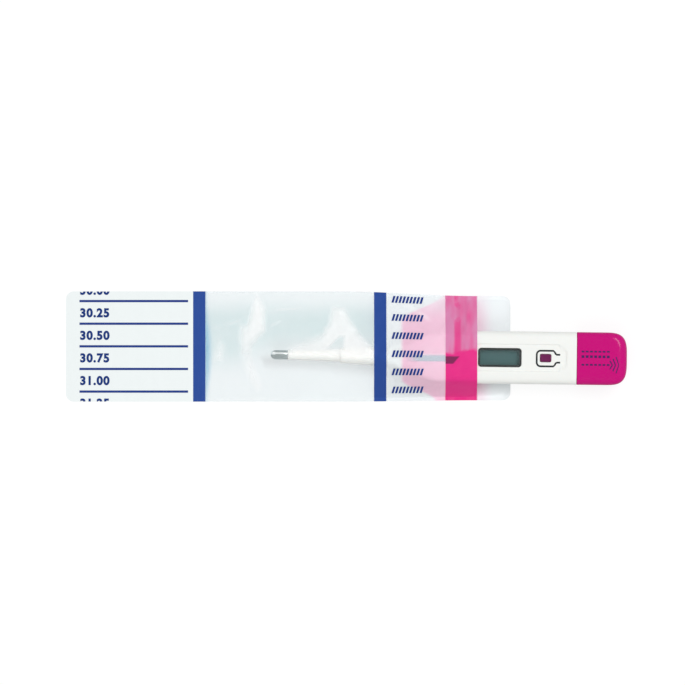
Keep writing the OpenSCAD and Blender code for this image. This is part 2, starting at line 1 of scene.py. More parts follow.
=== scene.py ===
"""Looks of a pen thermometer that lies face up, its probe half in a disposable sheath of two films.

Sizes are in millimetres. A station is a distance along the thermometer from its sensor tip, and a height is
measured from its underside. Meshes are turned into metres in the shared frame as they are made.
"""

import logging
import math
from dataclasses import dataclass
from enum import Enum
from typing import Any, Callable, Sequence

import bmesh
import bpy
import numpy as np
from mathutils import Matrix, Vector


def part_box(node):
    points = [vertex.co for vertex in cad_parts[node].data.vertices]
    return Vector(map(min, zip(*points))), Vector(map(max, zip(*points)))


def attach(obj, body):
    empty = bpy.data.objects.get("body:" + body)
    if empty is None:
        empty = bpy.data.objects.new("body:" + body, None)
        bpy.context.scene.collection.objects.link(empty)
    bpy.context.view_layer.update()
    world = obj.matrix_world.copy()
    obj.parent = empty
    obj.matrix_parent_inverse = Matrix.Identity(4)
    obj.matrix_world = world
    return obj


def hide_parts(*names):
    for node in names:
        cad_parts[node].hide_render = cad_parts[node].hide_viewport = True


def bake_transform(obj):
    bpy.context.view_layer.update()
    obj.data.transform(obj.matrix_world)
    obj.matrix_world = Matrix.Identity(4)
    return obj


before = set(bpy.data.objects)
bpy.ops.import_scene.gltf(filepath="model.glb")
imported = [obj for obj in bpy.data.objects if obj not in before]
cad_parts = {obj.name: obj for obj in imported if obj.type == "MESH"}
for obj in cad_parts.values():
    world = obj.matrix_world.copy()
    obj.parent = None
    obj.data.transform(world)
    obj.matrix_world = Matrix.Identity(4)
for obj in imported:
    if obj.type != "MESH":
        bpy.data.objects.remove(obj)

Colour = tuple[float, float, float]
Span = tuple[float, float]

MM = 0.001
WHITE = (1.0, 1.0, 1.0)
# The small round on both edges at the joint: how far back from the face, and how far in.
JOINT_LIP = np.array([[0.16, 0.02], [0.05, 0.09], [0.0, 0.2]])
# Squareness of the housing's cavity and of the cap's plug.
INNER_SQUARE = 12.0
log = logging.getLogger("thermometer")


class Rider(Enum):
    """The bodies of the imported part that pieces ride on."""

    HOUSING = "housing"
    BUTTON = "power_button"
    CARRIAGE = "carriage"
    CAP = "battery_cap"
    SHEATH = "sheath"


class Ends(Enum):
    """How a skin over rings is closed: its last ring meets its first, or each end runs to its middle."""

    JOINED = "joined"
    POLES = "poles"


def srgb(red: int, green: int, blue: int) -> Colour:
    """Turns a screen colour, 0 to 255, into the linear values that shaders take."""
    share = np.array([red, green, blue]) / 255
    return tuple(float(x) for x in np.where(share <= 0.04045, share / 12.92, ((share + 0.055) / 1.055) ** 2.4))


def smooth(share: np.ndarray | float) -> np.ndarray:
    """An even ramp from 0 to 1 that starts and ends level: t squared times (3 - 2t)."""
    held = np.clip(share, 0, 1)
    return held * held * (3 - 2 * held)


def between(low: np.ndarray | float, high: np.ndarray | float, share: np.ndarray | float) -> np.ndarray:
    """A straight blend of two values, held at its ends."""
    return low + (high - low) * np.clip(share, 0, 1)


class Signal:
    """A value inside a material: wraps one socket, and arithmetic on it adds Math nodes."""

    def __init__(self, shader: "Shader", socket: bpy.types.NodeSocket) -> None:
        """Keeps the node tree and the socket."""
        self.shader = shader
        self.socket = socket

    def __add__(self, other: "Signal | float") -> "Signal":
        """This plus the other."""
        return self.shader.math("ADD", self, other)

    def __sub__(self, other: "Signal | float") -> "Signal":
        """This less the other."""
        return self.shader.math("SUBTRACT", self, other)

    def __rsub__(self, other: float) -> "Signal":
        """The other less this."""
        return self.shader.math("SUBTRACT", other, self)

    def __mul__(self, other: "Signal | float") -> "Signal":
        """This times the other."""
        return self.shader.math("MULTIPLY", self, other)

    def __truediv__(self, other: "Signal | float") -> "Signal":
        """This over the other."""
        return self.shader.math("DIVIDE", self, other)

    __radd__ = __add__
    __rmul__ = __mul__

    def __abs__(self) -> "Signal":
        """This without its sign."""
        return self.shader.math("ABSOLUTE", self)

    def either(self, other: "Signal | float") -> "Signal":
        """The larger of this and the other."""
        return self.shader.math("MAXIMUM", self, other)

    def cycle(self) -> "Signal":
        """What is left of this after its whole number."""
        return self.shader.math("FRACT", self)

    def past(self, edge: float, width: float) -> "Signal":
        """A level ramp from 0 to 1 of the given width that crosses a half at the edge."""
        return self.shader.node("ShaderNodeMapRange", {"interpolation_type": "SMOOTHSTEP"},
                                {"Value": self, "From Min": edge - width / 2, "From Max": edge + width / 2})

    def inside(self, low: float, high: float, width: float) -> "Signal":
        """A band that is 1 between two values, with a ramp of the given width at each."""
        return self.past(low, width) * (1 - self.past(high, width))


class Shader:
    """The node tree of one material, or of the world."""

    def __init__(self, name: str, world: bool = False) -> None:
        """Starts an empty node tree.

        Args:
            name: Name of the material or the world.
            world: Whether it is a world.
        """
        self.owner = (bpy.data.worlds if world else bpy.data.materials).new(name)
        self.output = "ShaderNodeOutputWorld" if world else "ShaderNodeOutputMaterial"
        self.owner.use_nodes = True
        self.tree = self.owner.node_tree
        self.tree.nodes.clear()

    def node(self, kind: str, settings: dict[str, Any] | None = None,
             inputs: dict[str | int, Any] | None = None, output: str | int = 0) -> Signal:
        """Adds one node.

        Args:
            kind: The node's type.
            settings: Its own settings, set first.
            inputs: Values or signals for its sockets, by name or number; a colour has three values.
            output: The socket that the signal stands for.

        Returns:
            A signal on that output.
        """
        made = self.tree.nodes.new(kind)
        for key, value in (settings or {}).items():
            setattr(made, key, value)
        for key, value in (inputs or {}).items():
            socket = made.inputs[key]
            if isinstance(value, Signal):
                self.tree.links.new(value.socket, socket)
            else:
                socket.default_value = (*value, 1.0) if socket.type == "RGBA" else value
        return Signal(self, made.outputs[output])

    def math(self, operation: str, *values: Signal | float) -> Signal:
        """Adds a Math node over the values."""
        return self.node("ShaderNodeMath", {"operation": operation}, dict(enumerate(values)))

    def mix(self, share: Signal, first: Signal | Colour, second: Signal | Colour) -> Signal:
        """A blend of two colours."""
        return self.node("ShaderNodeMix", {"data_type": "RGBA"}, {0: share, 6: first, 7: second}, 2)

    def over(self, share: Signal | float, below: Signal, above: Signal) -> Signal:
        """Lays one surface over another by a share."""
        return self.node("ShaderNodeMixShader", inputs={0: share, 1: below, 2: above})

    def place(self, stretch: tuple[float, float, float] = (1, 1, 1)) -> Signal:
        """Object coordinates in metres, stretched along each axis."""
        spot = self.node("ShaderNodeTexCoord", output="Object")
        return self.node("ShaderNodeMapping", inputs={"Vector": spot, "Scale": stretch})

    def flat_place(self) -> Signal:
        """The piece's own UV map."""
        return self.node("ShaderNodeTexCoord", output="UV")

    def part(self, vector: Signal, axis: str) -> Signal:
        """One component of a vector."""
        return self.node("ShaderNodeSeparateXYZ", inputs={"Vector": vector}, output=axis)

    def seen(self) -> Signal:
        """Tells rays from the camera, off gloss and through clear things from the rest.

        Returns:
            1 for those rays, and 0 for the rest.
        """
        kinds = ("Is Camera Ray", "Is Glossy Ray", "Is Transmission Ray")
        straight, shiny, through = (self.node("ShaderNodeLightPath", output=kind) for kind in kinds)
        return straight.either(shiny).either(through)

    def noise(self, vector: Signal, scale: float, detail: float = 2.0) -> Signal:
        """Soft noise from 0 to 1, with that many patches to a unit of the vector."""
        return self.node("ShaderNodeTexNoise", inputs={"Vector": vector, "Scale": scale, "Detail": detail})

    def bump(self, height: Signal, distance: float, strength: float = 1.0) -> Signal:
        """Turns a height from 0 to 1 into a normal, for relief of that depth in metres."""
        return self.node("ShaderNodeBump", inputs={"Height": height, "Distance": distance, "Strength": strength},
                         output="Normal")

    def plastic(self, **inputs: Any) -> Signal:
        """A Principled surface; an input's name has underscores for spaces."""
        named = {key.replace("_", " "): value for key, value in inputs.items()}
        return self.node("ShaderNodeBsdfPrincipled", inputs=named)

    def finish(self, surface: Signal) -> bpy.types.Material | bpy.types.World:
        """Ends the tree with its surface, and gives the material or the world."""
        self.tree.links.new(surface.socket, self.tree.nodes.new(self.output).inputs["Surface"])
        return self.owner


@dataclass(frozen=True)
class Moulded:
    """A moulded or rubber surface: an even colour with slight clouding and a fine eroded grain."""

    name: str
    colour: Colour
    roughness: float = 0.4
    clouding: float = 0.04
    grain: float = 0.00001
    grain_scale: float = 9000.0
    gloss: float = 0.5
    depth: float = 0.0
    coat: float = 0.0

    def build(self) -> bpy.types.Material:
        """Makes the material.

        Returns:
            The material.
        """
        shader = Shader(self.name)
        place = shader.place()
        cloud = shader.noise(place, 160, 3)
        speck = shader.noise(place, self.grain_scale, 2)
        dark = tuple(c * (1 - self.clouding) for c in self.colour)
        light = tuple(min(1.0, c * (1 + self.clouding)) for c in self.colour)
        return shader.finish(shader.plastic(
            Base_Color=shader.mix(cloud, dark, light),
            Roughness=self.roughness + (cloud - 0.5) * 0.12 + (speck - 0.5) * 0.1,
            Normal=shader.bump(speck, self.grain),
            Specular_IOR_Level=self.gloss,
            Subsurface_Weight=self.depth,
            Subsurface_Radius=(0.6, 0.5, 0.45),
            Subsurface_Scale=0.0012,
            Coat_Weight=self.coat,
            Coat_Roughness=0.16,
        ))


@dataclass(frozen=True)
class PaintedHighlightLine:
    """A painted highlight: a bright line along a drawn piece, wider at its nose; places are in metres of the shared
    frame.
    """

    across: float
    half: float
    nose: float
    nose_half: float
    colour: Colour

    def share(self, shader: Shader) -> Signal:
        """Share of the painted highlight at a place.

        Args:
            shader: The material's node tree.

        Returns:
            The share, 0 to 1.
        """
        spot = shader.place()
        wide = (1 - shader.part(spot, "X").past(self.nose, 0.0008)) * (self.nose_half - self.half)
        return 1 - (abs(shader.part(spot, "Y") - self.across) - wide).past(self.half, 0.0004)


@dataclass(frozen=True)
class Metal:
    """Drawn or rolled metal with fine marks along one axis and a little tarnish, and where given a painted highlight
    line.
    """

    name: str
    colour: Colour
    roughness: float = 0.25
    marks: tuple[float, float, float] = (1.0, 1.0, 1.0)
    mark_depth: float = 0.000004
    tarnish: float = 0.25
    uneven: float = 0.2
    painted_highlight: PaintedHighlightLine | None = None

    def build(self) -> bpy.types.Material:
        """Makes the material.

        Returns:
            The material.
        """
        shader = Shader(self.name)
        drawn = shader.noise(shader.place(self.marks), 5000, 3)
        stain = shader.noise(shader.place(), 700, 4)
        dull = tuple(c * (1 - self.tarnish) for c in self.colour)
        surface = shader.mix(stain, self.colour, dull)
        # Painted highlight: a bright line laid over the metal's colour.
        if self.painted_highlight:
            surface = shader.mix(self.painted_highlight.share(shader), surface, self.painted_highlight.colour)
        return shader.finish(shader.plastic(
            Base_Color=surface,
            Metallic=1.0,
            Roughness=self.roughness + (drawn - 0.5) * self.uneven + (stain - 0.5) * self.uneven * 0.6,
            Normal=shader.bump(drawn, self.mark_depth),
        ))


@dataclass(frozen=True)
class Ink:
    """Print on plastic: an even coat whose cover thins a little in specks."""

    name: str
    colour: Colour
    worn: Colour
    roughness: float = 0.5

    def build(self) -> bpy.types.Material:
        """Makes the material.

        Returns:
            The material.
        """
        shader = Shader(self.name)
        speck = shader.noise(shader.place(), 2600, 3)
        thin = speck.past(0.7, 0.2)
        return shader.finish(shader.plastic(
            Base_Color=shader.mix(thin * 0.5, self.colour, self.worn),
            Roughness=self.roughness + (speck - 0.5) * 0.2,
            Specular_IOR_Level=0.2,
        ))


@dataclass(frozen=True)
class ClearLens:
    """A clear moulded lens: nearly all of the light passes, and the rest is a clean gloss."""

    name: str = "clear_lens"
    tint: Colour = srgb(200, 215, 212)
    cover: float = 0.03

    def build(self) -> bpy.types.Material:
        """Makes the material.

        Returns:
            The material.
        """
        shader = Shader(self.name)
        haze = shader.noise(shader.place(), 400, 3)
        return shader.finish(shader.plastic(
            Base_Color=shader.mix(haze, self.tint, tuple(c * 0.9 for c in self.tint)),
            Roughness=0.05 + haze * 0.06,
            Alpha=self.cover + (haze - 0.5) * 0.02,
            IOR=1.9,
        ))


@dataclass(frozen=True)
class Display:
    """A switched-off liquid crystal display: grey-green glass, with the faint net of its electrodes."""

    name: str = "display"
    colour: Colour = srgb(78, 114, 115)
    shade: Colour = srgb(56, 88, 89)
    net_lines: float = 900.0

    def build(self) -> bpy.types.Material:
        """Makes the material.

        Returns:
            The material.
        """
        shader = Shader(self.name)
        place = shader.place()
        cloud = shader.noise(shader.place((1, 3, 1)), 120, 2)
        along, across = (abs((shader.part(place, axis) * self.net_lines).cycle() - 0.5) for axis in "XY")
        net = (along + across).past(0.85, 0.1)
        return shader.finish(shader.plastic(
            Base_Color=shader.mix(cloud * 0.8 + net * 0.12, self.colour, self.shade),
            Roughness=0.3 + cloud * 0.08,
            Specular_IOR_Level=0.1,
        ))


@dataclass(frozen=True)
class Board:
    """A circuit board: lacquered laminate with thin copper runs under the lacquer."""

    name: str = "circuit_board"
    lacquer: Colour = srgb(32, 96, 58)
    copper: Colour = srgb(74, 132, 72)

    def build(self) -> bpy.types.Material:
        """Makes the material.

        Returns:
            The material.
        """
        shader = Shader(self.name)
        place = shader.place()
        cells = shader.node("ShaderNodeTexVoronoi", {"feature": "DISTANCE_TO_EDGE"}, {"Vector": place, "Scale": 420})
        runs = 1 - cells.past(0.09, 0.05)
        weave = shader.noise(place, 3500, 2)
        return shader.finish(shader.plastic(
            Base_Color=shader.mix(runs, self.lacquer, self.copper),
            Roughness=0.32 + (weave - 0.5) * 0.15,
            Normal=shader.bump(runs + weave * 0.2, 0.00003),
        ))


@dataclass(frozen=True)
class FilmInk:
    """Colours of the sheath's films and of the print on them."""

    front_haze: Colour = srgb(244, 248, 250)
    pale_haze: Colour = srgb(231, 242, 245)
    # Teal of the back film's darker band.
    teal_haze: Colour = srgb(189, 218, 220)
    lip_haze: Colour = srgb(243, 248, 250)
    # White of the milky film and of its painted reflections; also the record panel's white.
    milk_and_reflection: Colour = srgb(254, 254, 254)
    panel: Colour = srgb(245, 251, 251)
    blue: Colour = srgb(36, 74, 154)
    navy: Colour = srgb(18, 52, 132)
    # Blue light painted on the film beside the first stripe.
    glow: Colour = srgb(96, 184, 216)
    band: Colour = srgb(236, 42, 140)
    # Painted sheen: the lighter colour on the band's far half.
    painted_sheen_band: Colour = srgb(224, 140, 186)
    shaded_band: Colour = srgb(132, 34, 88)
    # Pink light from the band, painted on the films beside it.
    painted_pink_light: Colour = srgb(250, 208, 230)


@dataclass(frozen=True)
class FilmPrint:
    """Places and sizes of the print on the flat sheath: along from the closed end and up from the near edge."""

    edge: float = 0.12
    panel_end: float = 45.35
    stripes: tuple[Span, Span] = ((45.4, 49.8), (110.0, 114.4))
    band: Span = (135.4, 147.2)
    rule: Span = (4.8, 43.6)
    rule_up: float = 3.6
    rule_pitch: float = 8.08
    rule_half: float = 0.42
    row_start: float = 116.5
    row_length: float = 11.2
    row_up: float = 4.1
    row_pitch: float = 6.6
    row_half: float = 1.25
    bar_pitch: float = 1.25
    bar_slant: float = 0.3
    bar_middle: float = 0.36
    bar_half: float = 0.33


@dataclass(frozen=True)
class Film:
    """The sheath's film: clear and faintly hazy, milky where it is creased or sealed, white where reflections are
    painted on, with printed bands.

    Places are read from the film's UV map, which spans its flat length; along runs from the closed end and up
    from the near edge, both in millimetres. How milky a place is, with the white of painted reflections, comes from
    the film's own attribute.
    """

    name: str
    length: float
    width: float
    printed: bool
    ink: FilmInk = FilmInk()
    spots: FilmPrint = FilmPrint()
    sheen: float = 0.008

    def build(self) -> bpy.types.Material:
        """Makes the material: clear film, with print laid over it by its share.

        Returns:
            The material.
        """
        shader, ink, spots = Shader(self.name), self.ink, self.spots
        flat = shader.flat_place()
        along, up = (shader.part(flat, axis) * self.length for axis in "XY")
        crinkle = shader.noise(shader.place((1, 0.55, 1)), 260, 4)
        cloud = shader.noise(shader.place(), 90, 2)
        relief = shader.bump(crinkle, 0.0003, 0.5)
        clear = self.clear(shader, along, up, cloud, relief)
        panel = 1 - along.past(spots.panel_end, 0.1)
        if not self.printed:
            backing = shader.plastic(Base_Color=shader.mix(cloud, ink.panel, ink.milk_and_reflection),
                                     Roughness=0.4 + (cloud - 0.5) * 0.1, Normal=relief)
            return shader.finish(shader.over(panel, clear, backing))
        first, second, band = (along.inside(*span, spots.edge) for span in (*spots.stripes, spots.band))
        stripes = first + second
        lines = self.ruled_lines(along, up).either(self.bar_rows(along, up))
        blues = shader.mix(lines, shader.mix(stripes, ink.panel, ink.blue), ink.navy)
        printed = shader.plastic(
            Base_Color=shader.mix(band, blues, self.band_ink(shader, along, up)),
            Roughness=0.46 + (cloud - 0.5) * 0.14,
            Specular_IOR_Level=0.22,
            Alpha=0.97 - band * 0.1,
            Normal=relief,
        )
        return shader.finish(shader.over(panel.either(stripes).either(lines).either(band), clear, printed))

    def band_ink(self, shader: Shader, along: Signal, up: Signal) -> Signal:
        """Colour of the band at the mouth: lighter in streaks on its far half, a painted sheen of the light on the
        slope that faces it, and dark where the stripe ends below it.

        Args:
            shader: The material's node tree.
            along: Place along the film.
            up: Place up the film.

        Returns:
            The colour.
        """
        streak = shader.noise(shader.place((1, 0.2, 0.4)), 240, 2)
        ragged = shader.noise(shader.place(), 120, 4)
        # A darker streak where the painted sheen breaks off.
        sheen_gap = along.inside(138.6, 141.0, 1.0) * ragged.past(0.4, 0.12)
        # Painted sheen: the band's far half is lighter in streaks, where the light falls on the slope that faces it.
        painted_sheen = (up + ragged * 12 - 6).past(18.6, 2.2) * (streak * 2.4 - 0.4) * (1 - sheen_gap * 0.7)
        wedge = (1 - (along - (up - 13.5) * 0.8).past(137.9, 0.8)) * up.inside(13.8, 16.6, 0.5)
        return shader.mix(wedge, shader.mix(painted_sheen, self.ink.band, self.ink.painted_sheen_band), self.ink.shaded_band)

    @staticmethod
    def cling(along: Signal, up: Signal) -> Signal:
        """Share of the film that clings to the stripe on the flare, and is clear there."""
        return along.past(124, 6) * (1 - along.past(135.5, 0.3)) * up.past(14.7, 0.6) * (1 - up.past(17.0, 1.4))

    @staticmethod
    def painted_pink_light(along: Signal, up: Signal, cling: Signal, cloud: Signal) -> Signal:
        """Share of the painted pink light that the band throws on the film beside it: it reaches less far and pales
        towards the seams.

        Args:
            along: Place along the film.
            up: Place up the film.
            cling: Share of the film that clings to the stripe.
            cloud: Slow noise.

        Returns:
            The share.
        """
        reach = along - up.past(34.6, 11) * 15 - (1 - up.past(4.0, 8)) * 12
        return reach.past(119.9, 1.8) * (1 - along.past(150.0, 6.0)) * (1 - cling * 0.8) * (
            1 - up.past(35.0, 12) * 0.6) * (0.75 + cloud * 0.4)

    def clear(self, shader: Shader, along: Signal, up: Signal, cloud: Signal, relief: Signal) -> Signal:
        """The bare film: a faint haze, whiter in creases and near the mouth and where reflections are painted on,
        with painted blue light beside the stripe and painted pink light beside the band.

        Args:
            shader: The material's node tree.
            along: Place along the film.
            up: Place up the film.
            cloud: Slow noise.
            relief: The film's crinkled normal.

        Returns:
            The surface.
        """
        # Milkiness along folds and seals, and painted reflections on the facets.
        milk_and_reflection_map = shader.node("ShaderNodeAttribute", {"attribute_name": "milk_and_reflection"}, output="Fac")
        milk_and_reflection = milk_and_reflection_map.either((1 - up.inside(1.4, self.width - 1.4, 0.5)) * 0.05)
        frost = along.past(114.6, 0.8)
        cling = self.cling(along, up)
        # Painted pink light that the band throws on the film beside it.
        painted_pink_light = self.painted_pink_light(along, up, cling, cloud)
        # Painted blue light that the first stripe throws on the film beside it.
        glow = (1 - (along - up.inside(6, 28, 16) * 1.5).past(50.0, 2.8)) * 0.8
        if self.printed:
            haze, cover = self.ink.front_haze, 0.03 + frost * (1 - cling * 0.75) * 0.48
        else:
            # Darker and tealer in a band up the back film, shifted towards the far seam beside the probe.
            beside_probe = along.past(66, 16)
            deep = (up - beside_probe * 6.5).past(14, 13) * (1 - up.past(34, 9)) * (1 - frost) * (0.55 + cloud * 0.5)
            lip = along.past(146.8, 1.0)
            haze = shader.mix(lip, shader.mix(deep, self.ink.pale_haze, self.ink.teal_haze), self.ink.lip_haze)
            cover = 0.3 + deep * 0.1 + lip * 0.55
            painted_pink_light = painted_pink_light * (1 - lip * 0.5)
        tinted = shader.mix(glow, shader.mix(painted_pink_light, haze, self.ink.painted_pink_light), self.ink.glow)
        roughness = 0.26 + (cloud - 0.5) * 0.12
        body = shader.plastic(
            Base_Color=shader.mix(milk_and_reflection.past(0.12, 0.24), tinted, self.ink.milk_and_reflection),
            Roughness=roughness,
            Alpha=cover + milk_and_reflection * 0.75 + painted_pink_light * 0.14 + glow * 0.12 + (cloud - 0.5) * 0.02,
            Specular_IOR_Level=0.2,
            Normal=relief,
        )
        gloss = shader.plastic(Base_Color=WHITE, Metallic=1.0, Roughness=roughness, Normal=relief)
        return shader.over(self.sheen, body, gloss)

    def ruled_lines(self, along: Signal, up: Signal) -> Signal:
        """Share of the lines ruled on the record panel.

        Args:
            along: Place along the film.
            up: Place up the film.

        Returns:
            The share, 0 to 1.
        """
        spots = self.spots
        line = abs(((up - spots.rule_up) / spots.rule_pitch + 0.5).cycle() - 0.5) * spots.rule_pitch
        return along.inside(*spots.rule, spots.edge) * (1 - line.past(spots.rule_half, spots.edge))

    def bar_rows(self, along: Signal, up: Signal) -> Signal:
        """Share of the dark print: six rows of slanted bars, each bar whole, in place of words.

        Args:
            along: Place along the film.
            up: Place up the film.

        Returns:
            The share, 0 to 1.
        """
        spots = self.spots
        off_row = (((up - spots.row_up) / spots.row_pitch + 0.5).cycle() - 0.5) * spots.row_pitch
        slanted = along - off_row * spots.bar_slant - spots.row_start
        bar = abs((slanted / spots.bar_pitch).cycle() - spots.bar_middle)
        row = slanted.inside(0.0, spots.row_length, spots.edge) * (1 - abs(off_row).past(spots.row_half, spots.edge))
        return row * (1 - bar.past(spots.bar_half, 0.1))


def grid_quads(rows: int, columns: int, round_columns: bool = False, round_rows: bool = False) -> np.ndarray:
    """Corners of the quads of a grid whose points are kept row by row.

    Args:
        rows: Number of rows.
        columns: Number of points in a row.
        round_columns: Whether a row's last point meets its first.
        round_rows: Whether the last row meets the first.

    Returns:
        One row of four point numbers for each quad.
    """
    along, across = rows - (not round_rows), columns - (not round_columns)
    i, j = np.meshgrid(np.arange(along), np.arange(across), indexing="ij")
    k, l = (i + 1) % rows, (j + 1) % columns
    return np.stack([i * columns + j, k * columns + j, k * columns + l, i * columns + l], -1).reshape(-1, 4)


@dataclass
class Skin:
    """One closed surface in millimetres of the shared frame; a film has flat coordinates and milkiness with painted
    reflections too.
    """

    points: np.ndarray
    faces: list[list[int]]
    flat: np.ndarray | None = None
    milk_and_reflection: np.ndarray | None = None

    @classmethod
    def over_rings(cls, rings: np.ndarray, ends: Ends) -> "Skin":
        """Skins a stack of rings of equal count.

        Args:
            rings: Points as rings by points by three.
            ends: How the stack is closed.

        Returns:
            The closed skin.
        """
        count, around, _ = rings.shape
        faces = grid_quads(count, around, True, ends is Ends.JOINED).tolist()
        points = rings.reshape(-1, 3)
        if ends is Ends.POLES:
            points = np.concatenate([points, rings[[0, -1]].mean(1)])
            j = np.arange(around)
            k = (j + 1) % around
            last = (count - 1) * around
            faces += np.stack([j, k, np.full(around, count * around)], -1).tolist()
            faces += np.stack([last + k, last + j, np.full(around, count * around + 1)], -1).tolist()
        return cls(points, faces)

    @classmethod
    def of_sheet(cls, lower: np.ndarray, upper: np.ndarray, flat: np.ndarray, milk_and_reflection: np.ndarray) -> "Skin":
        """Closes a thin sheet between two grids of points.

        Args:
            lower: Underside as rows by columns by three.
            upper: Top side, the same count.
            flat: Flat coordinates of each grid point, two numbers each.
            milk_and_reflection: How milky the sheet is at each grid point, painted reflections included.

        Returns:
            The closed skin, with the flat coordinates and the milkiness with painted reflections on both sides.
        """
        rows, columns, _ = lower.shape
        under = rows * columns
        deck = grid_quads(rows, columns)
        number = np.arange(under).reshape(rows, columns)
        rim = np.concatenate([number[:, 0], number[-1, 1:], number[-2::-1, -1], number[0, -2:0:-1]])
        ahead = np.roll(rim, -1)
        walls = np.stack([rim, ahead, ahead + under, rim + under], -1)
        faces = np.concatenate([deck[:, ::-1], deck + under, walls]).tolist()
        return cls(np.concatenate([lower.reshape(-1, 3), upper.reshape(-1, 3)]), faces,
                   np.concatenate([flat.reshape(-1, 2)] * 2), np.concatenate([milk_and_reflection.ravel()] * 2))

    @classmethod
    def joined(cls, skins: Sequence["Skin"]) -> "Skin":
        """Several skins as one.

        Args:
            skins: Skins without flat coordinates.

        Returns:
            One skin with all their points and faces.
        """
        starts = np.cumsum([0] + [len(s.points) for s in skins])
        faces = [[int(start) + p for p in face] for start, s in zip(starts, skins) for face in s.faces]
        return cls(np.concatenate([s.points for s in skins]), faces)

    def mesh(self, name: str) -> bpy.types.Mesh:
        """Makes the mesh in metres, with its faces turned outwards.

        Args:
            name: The mesh's name.

        Returns:
            The mesh.
        """
        made = bpy.data.meshes.new(name)
        made.from_pydata((self.points * MM).tolist(), [], self.faces)
        if self.flat is not None:
            corner = np.zeros(len(made.loops), np.int32)
            made.loops.foreach_get("vertex_index", corner)
            made.uv_layers.new(name="flat").data.foreach_set("uv", self.flat[corner].astype(np.float32).ravel())
        if self.milk_and_reflection is not None:
            made.attributes.new("milk_and_reflection", "FLOAT", "POINT").data.foreach_set("value", self.milk_and_reflection.astype(np.float32))
        work = bmesh.new()
        work.from_mesh(made)
        bmesh.ops.recalc_face_normals(work, faces=work.faces)
        work.to_mesh(made)
        work.free()
        return made


def move_points(mesh: bpy.types.Mesh, move: Callable[[np.ndarray], np.ndarray]) -> None:
    """Moves a mesh's points.

    Args:
        mesh: The mesh.
        move: Gives the new places for the old ones, as points by three.
    """
    place = np.zeros(len(mesh.vertices) * 3, np.float32)
    mesh.vertices.foreach_get("co", place)
    moved = move(place.reshape(-1, 3).astype(float))
    mesh.vertices.foreach_set("co", moved.astype(np.float32).ravel())


def make_piece(name: str, skin: Skin | bpy.types.Mesh, rider: Rider | None, finish: bpy.types.Material,
               replaces: Sequence[str] = (), crease: float = 30.0) -> bpy.types.Object:
    """Puts one piece into the scene.

    Args:
        name: The piece's name.
        skin: Its surface, or a mesh in metres.
        rider: The body that it moves with, or none.
        finish: Its material.
        replaces: The solids that it stands for.
        crease: Angle in degrees past which an edge stays sharp.

    Returns:
        The new object.
    """
    mesh = skin.mesh(name) if isinstance(skin, Skin) else skin
    mesh.shade_smooth()
    mesh.set_sharp_from_angle(angle=math.radians(crease))
    mesh.materials.clear()
    mesh.materials.append(finish)
    made = bpy.data.objects.new(name, mesh)
    bpy.context.collection.objects.link(made)
    if rider:
        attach(made, rider.value)
    if replaces:
        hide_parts(*replaces)
    log.info("%s: %d points on %s", name, len(mesh.vertices), rider.value if rider else "two bodies")
    return made


def cut_out(mesh: bpy.types.Mesh, cutters: Sequence[Skin]) -> bpy.types.Mesh:
    """Takes closed shapes out of a closed mesh.

    Args:
        mesh: The mesh to cut.
        cutters: What is taken out, one after another.

    Returns:
        A new mesh.
    """
    work = bpy.data.objects.new("uncut", mesh)
    bpy.context.collection.objects.link(work)
    tools = []
    for number, cutter in enumerate(cutters):
        tool = bpy.data.objects.new(f"cutter_{number}", cutter.mesh(f"cutter_{number}"))
        bpy.context.collection.objects.link(tool)
        step = work.modifiers.new(f"cut_{number}", "BOOLEAN")
        step.operation, step.solver, step.object = "DIFFERENCE", "EXACT", tool
        tools.append(tool)
    cut = bpy.data.meshes.new_from_object(work.evaluated_get(bpy.context.evaluated_depsgraph_get()))
    for used in (work, *tools):
        bpy.data.objects.remove(used)
    return cut


def rounded_outline(half_x: float, half_y: float, radius: float, steps: int = 8) -> np.ndarray:
    """A rectangle with round corners about the origin: four quarter arcs joined by straight sides.

    Args:
        half_x: Half its length.
        half_y: Half its width.
        radius: Its corners' radius.
        steps: Steps in a corner.

    Returns:
        The outline's points, two numbers each.
    """
    turn = np.linspace(0, math.pi / 2, steps + 1)
    starts = np.arange(4)[:, None] * math.pi / 2
    centre = np.array([[1, 1], [-1, 1], [-1, -1], [1, -1]]) * [half_x - radius, half_y - radius]
    arcs = centre[:, None, :] + radius * np.stack([np.cos(starts + turn), np.sin(starts + turn)], -1)
    return arcs.reshape(-1, 2)


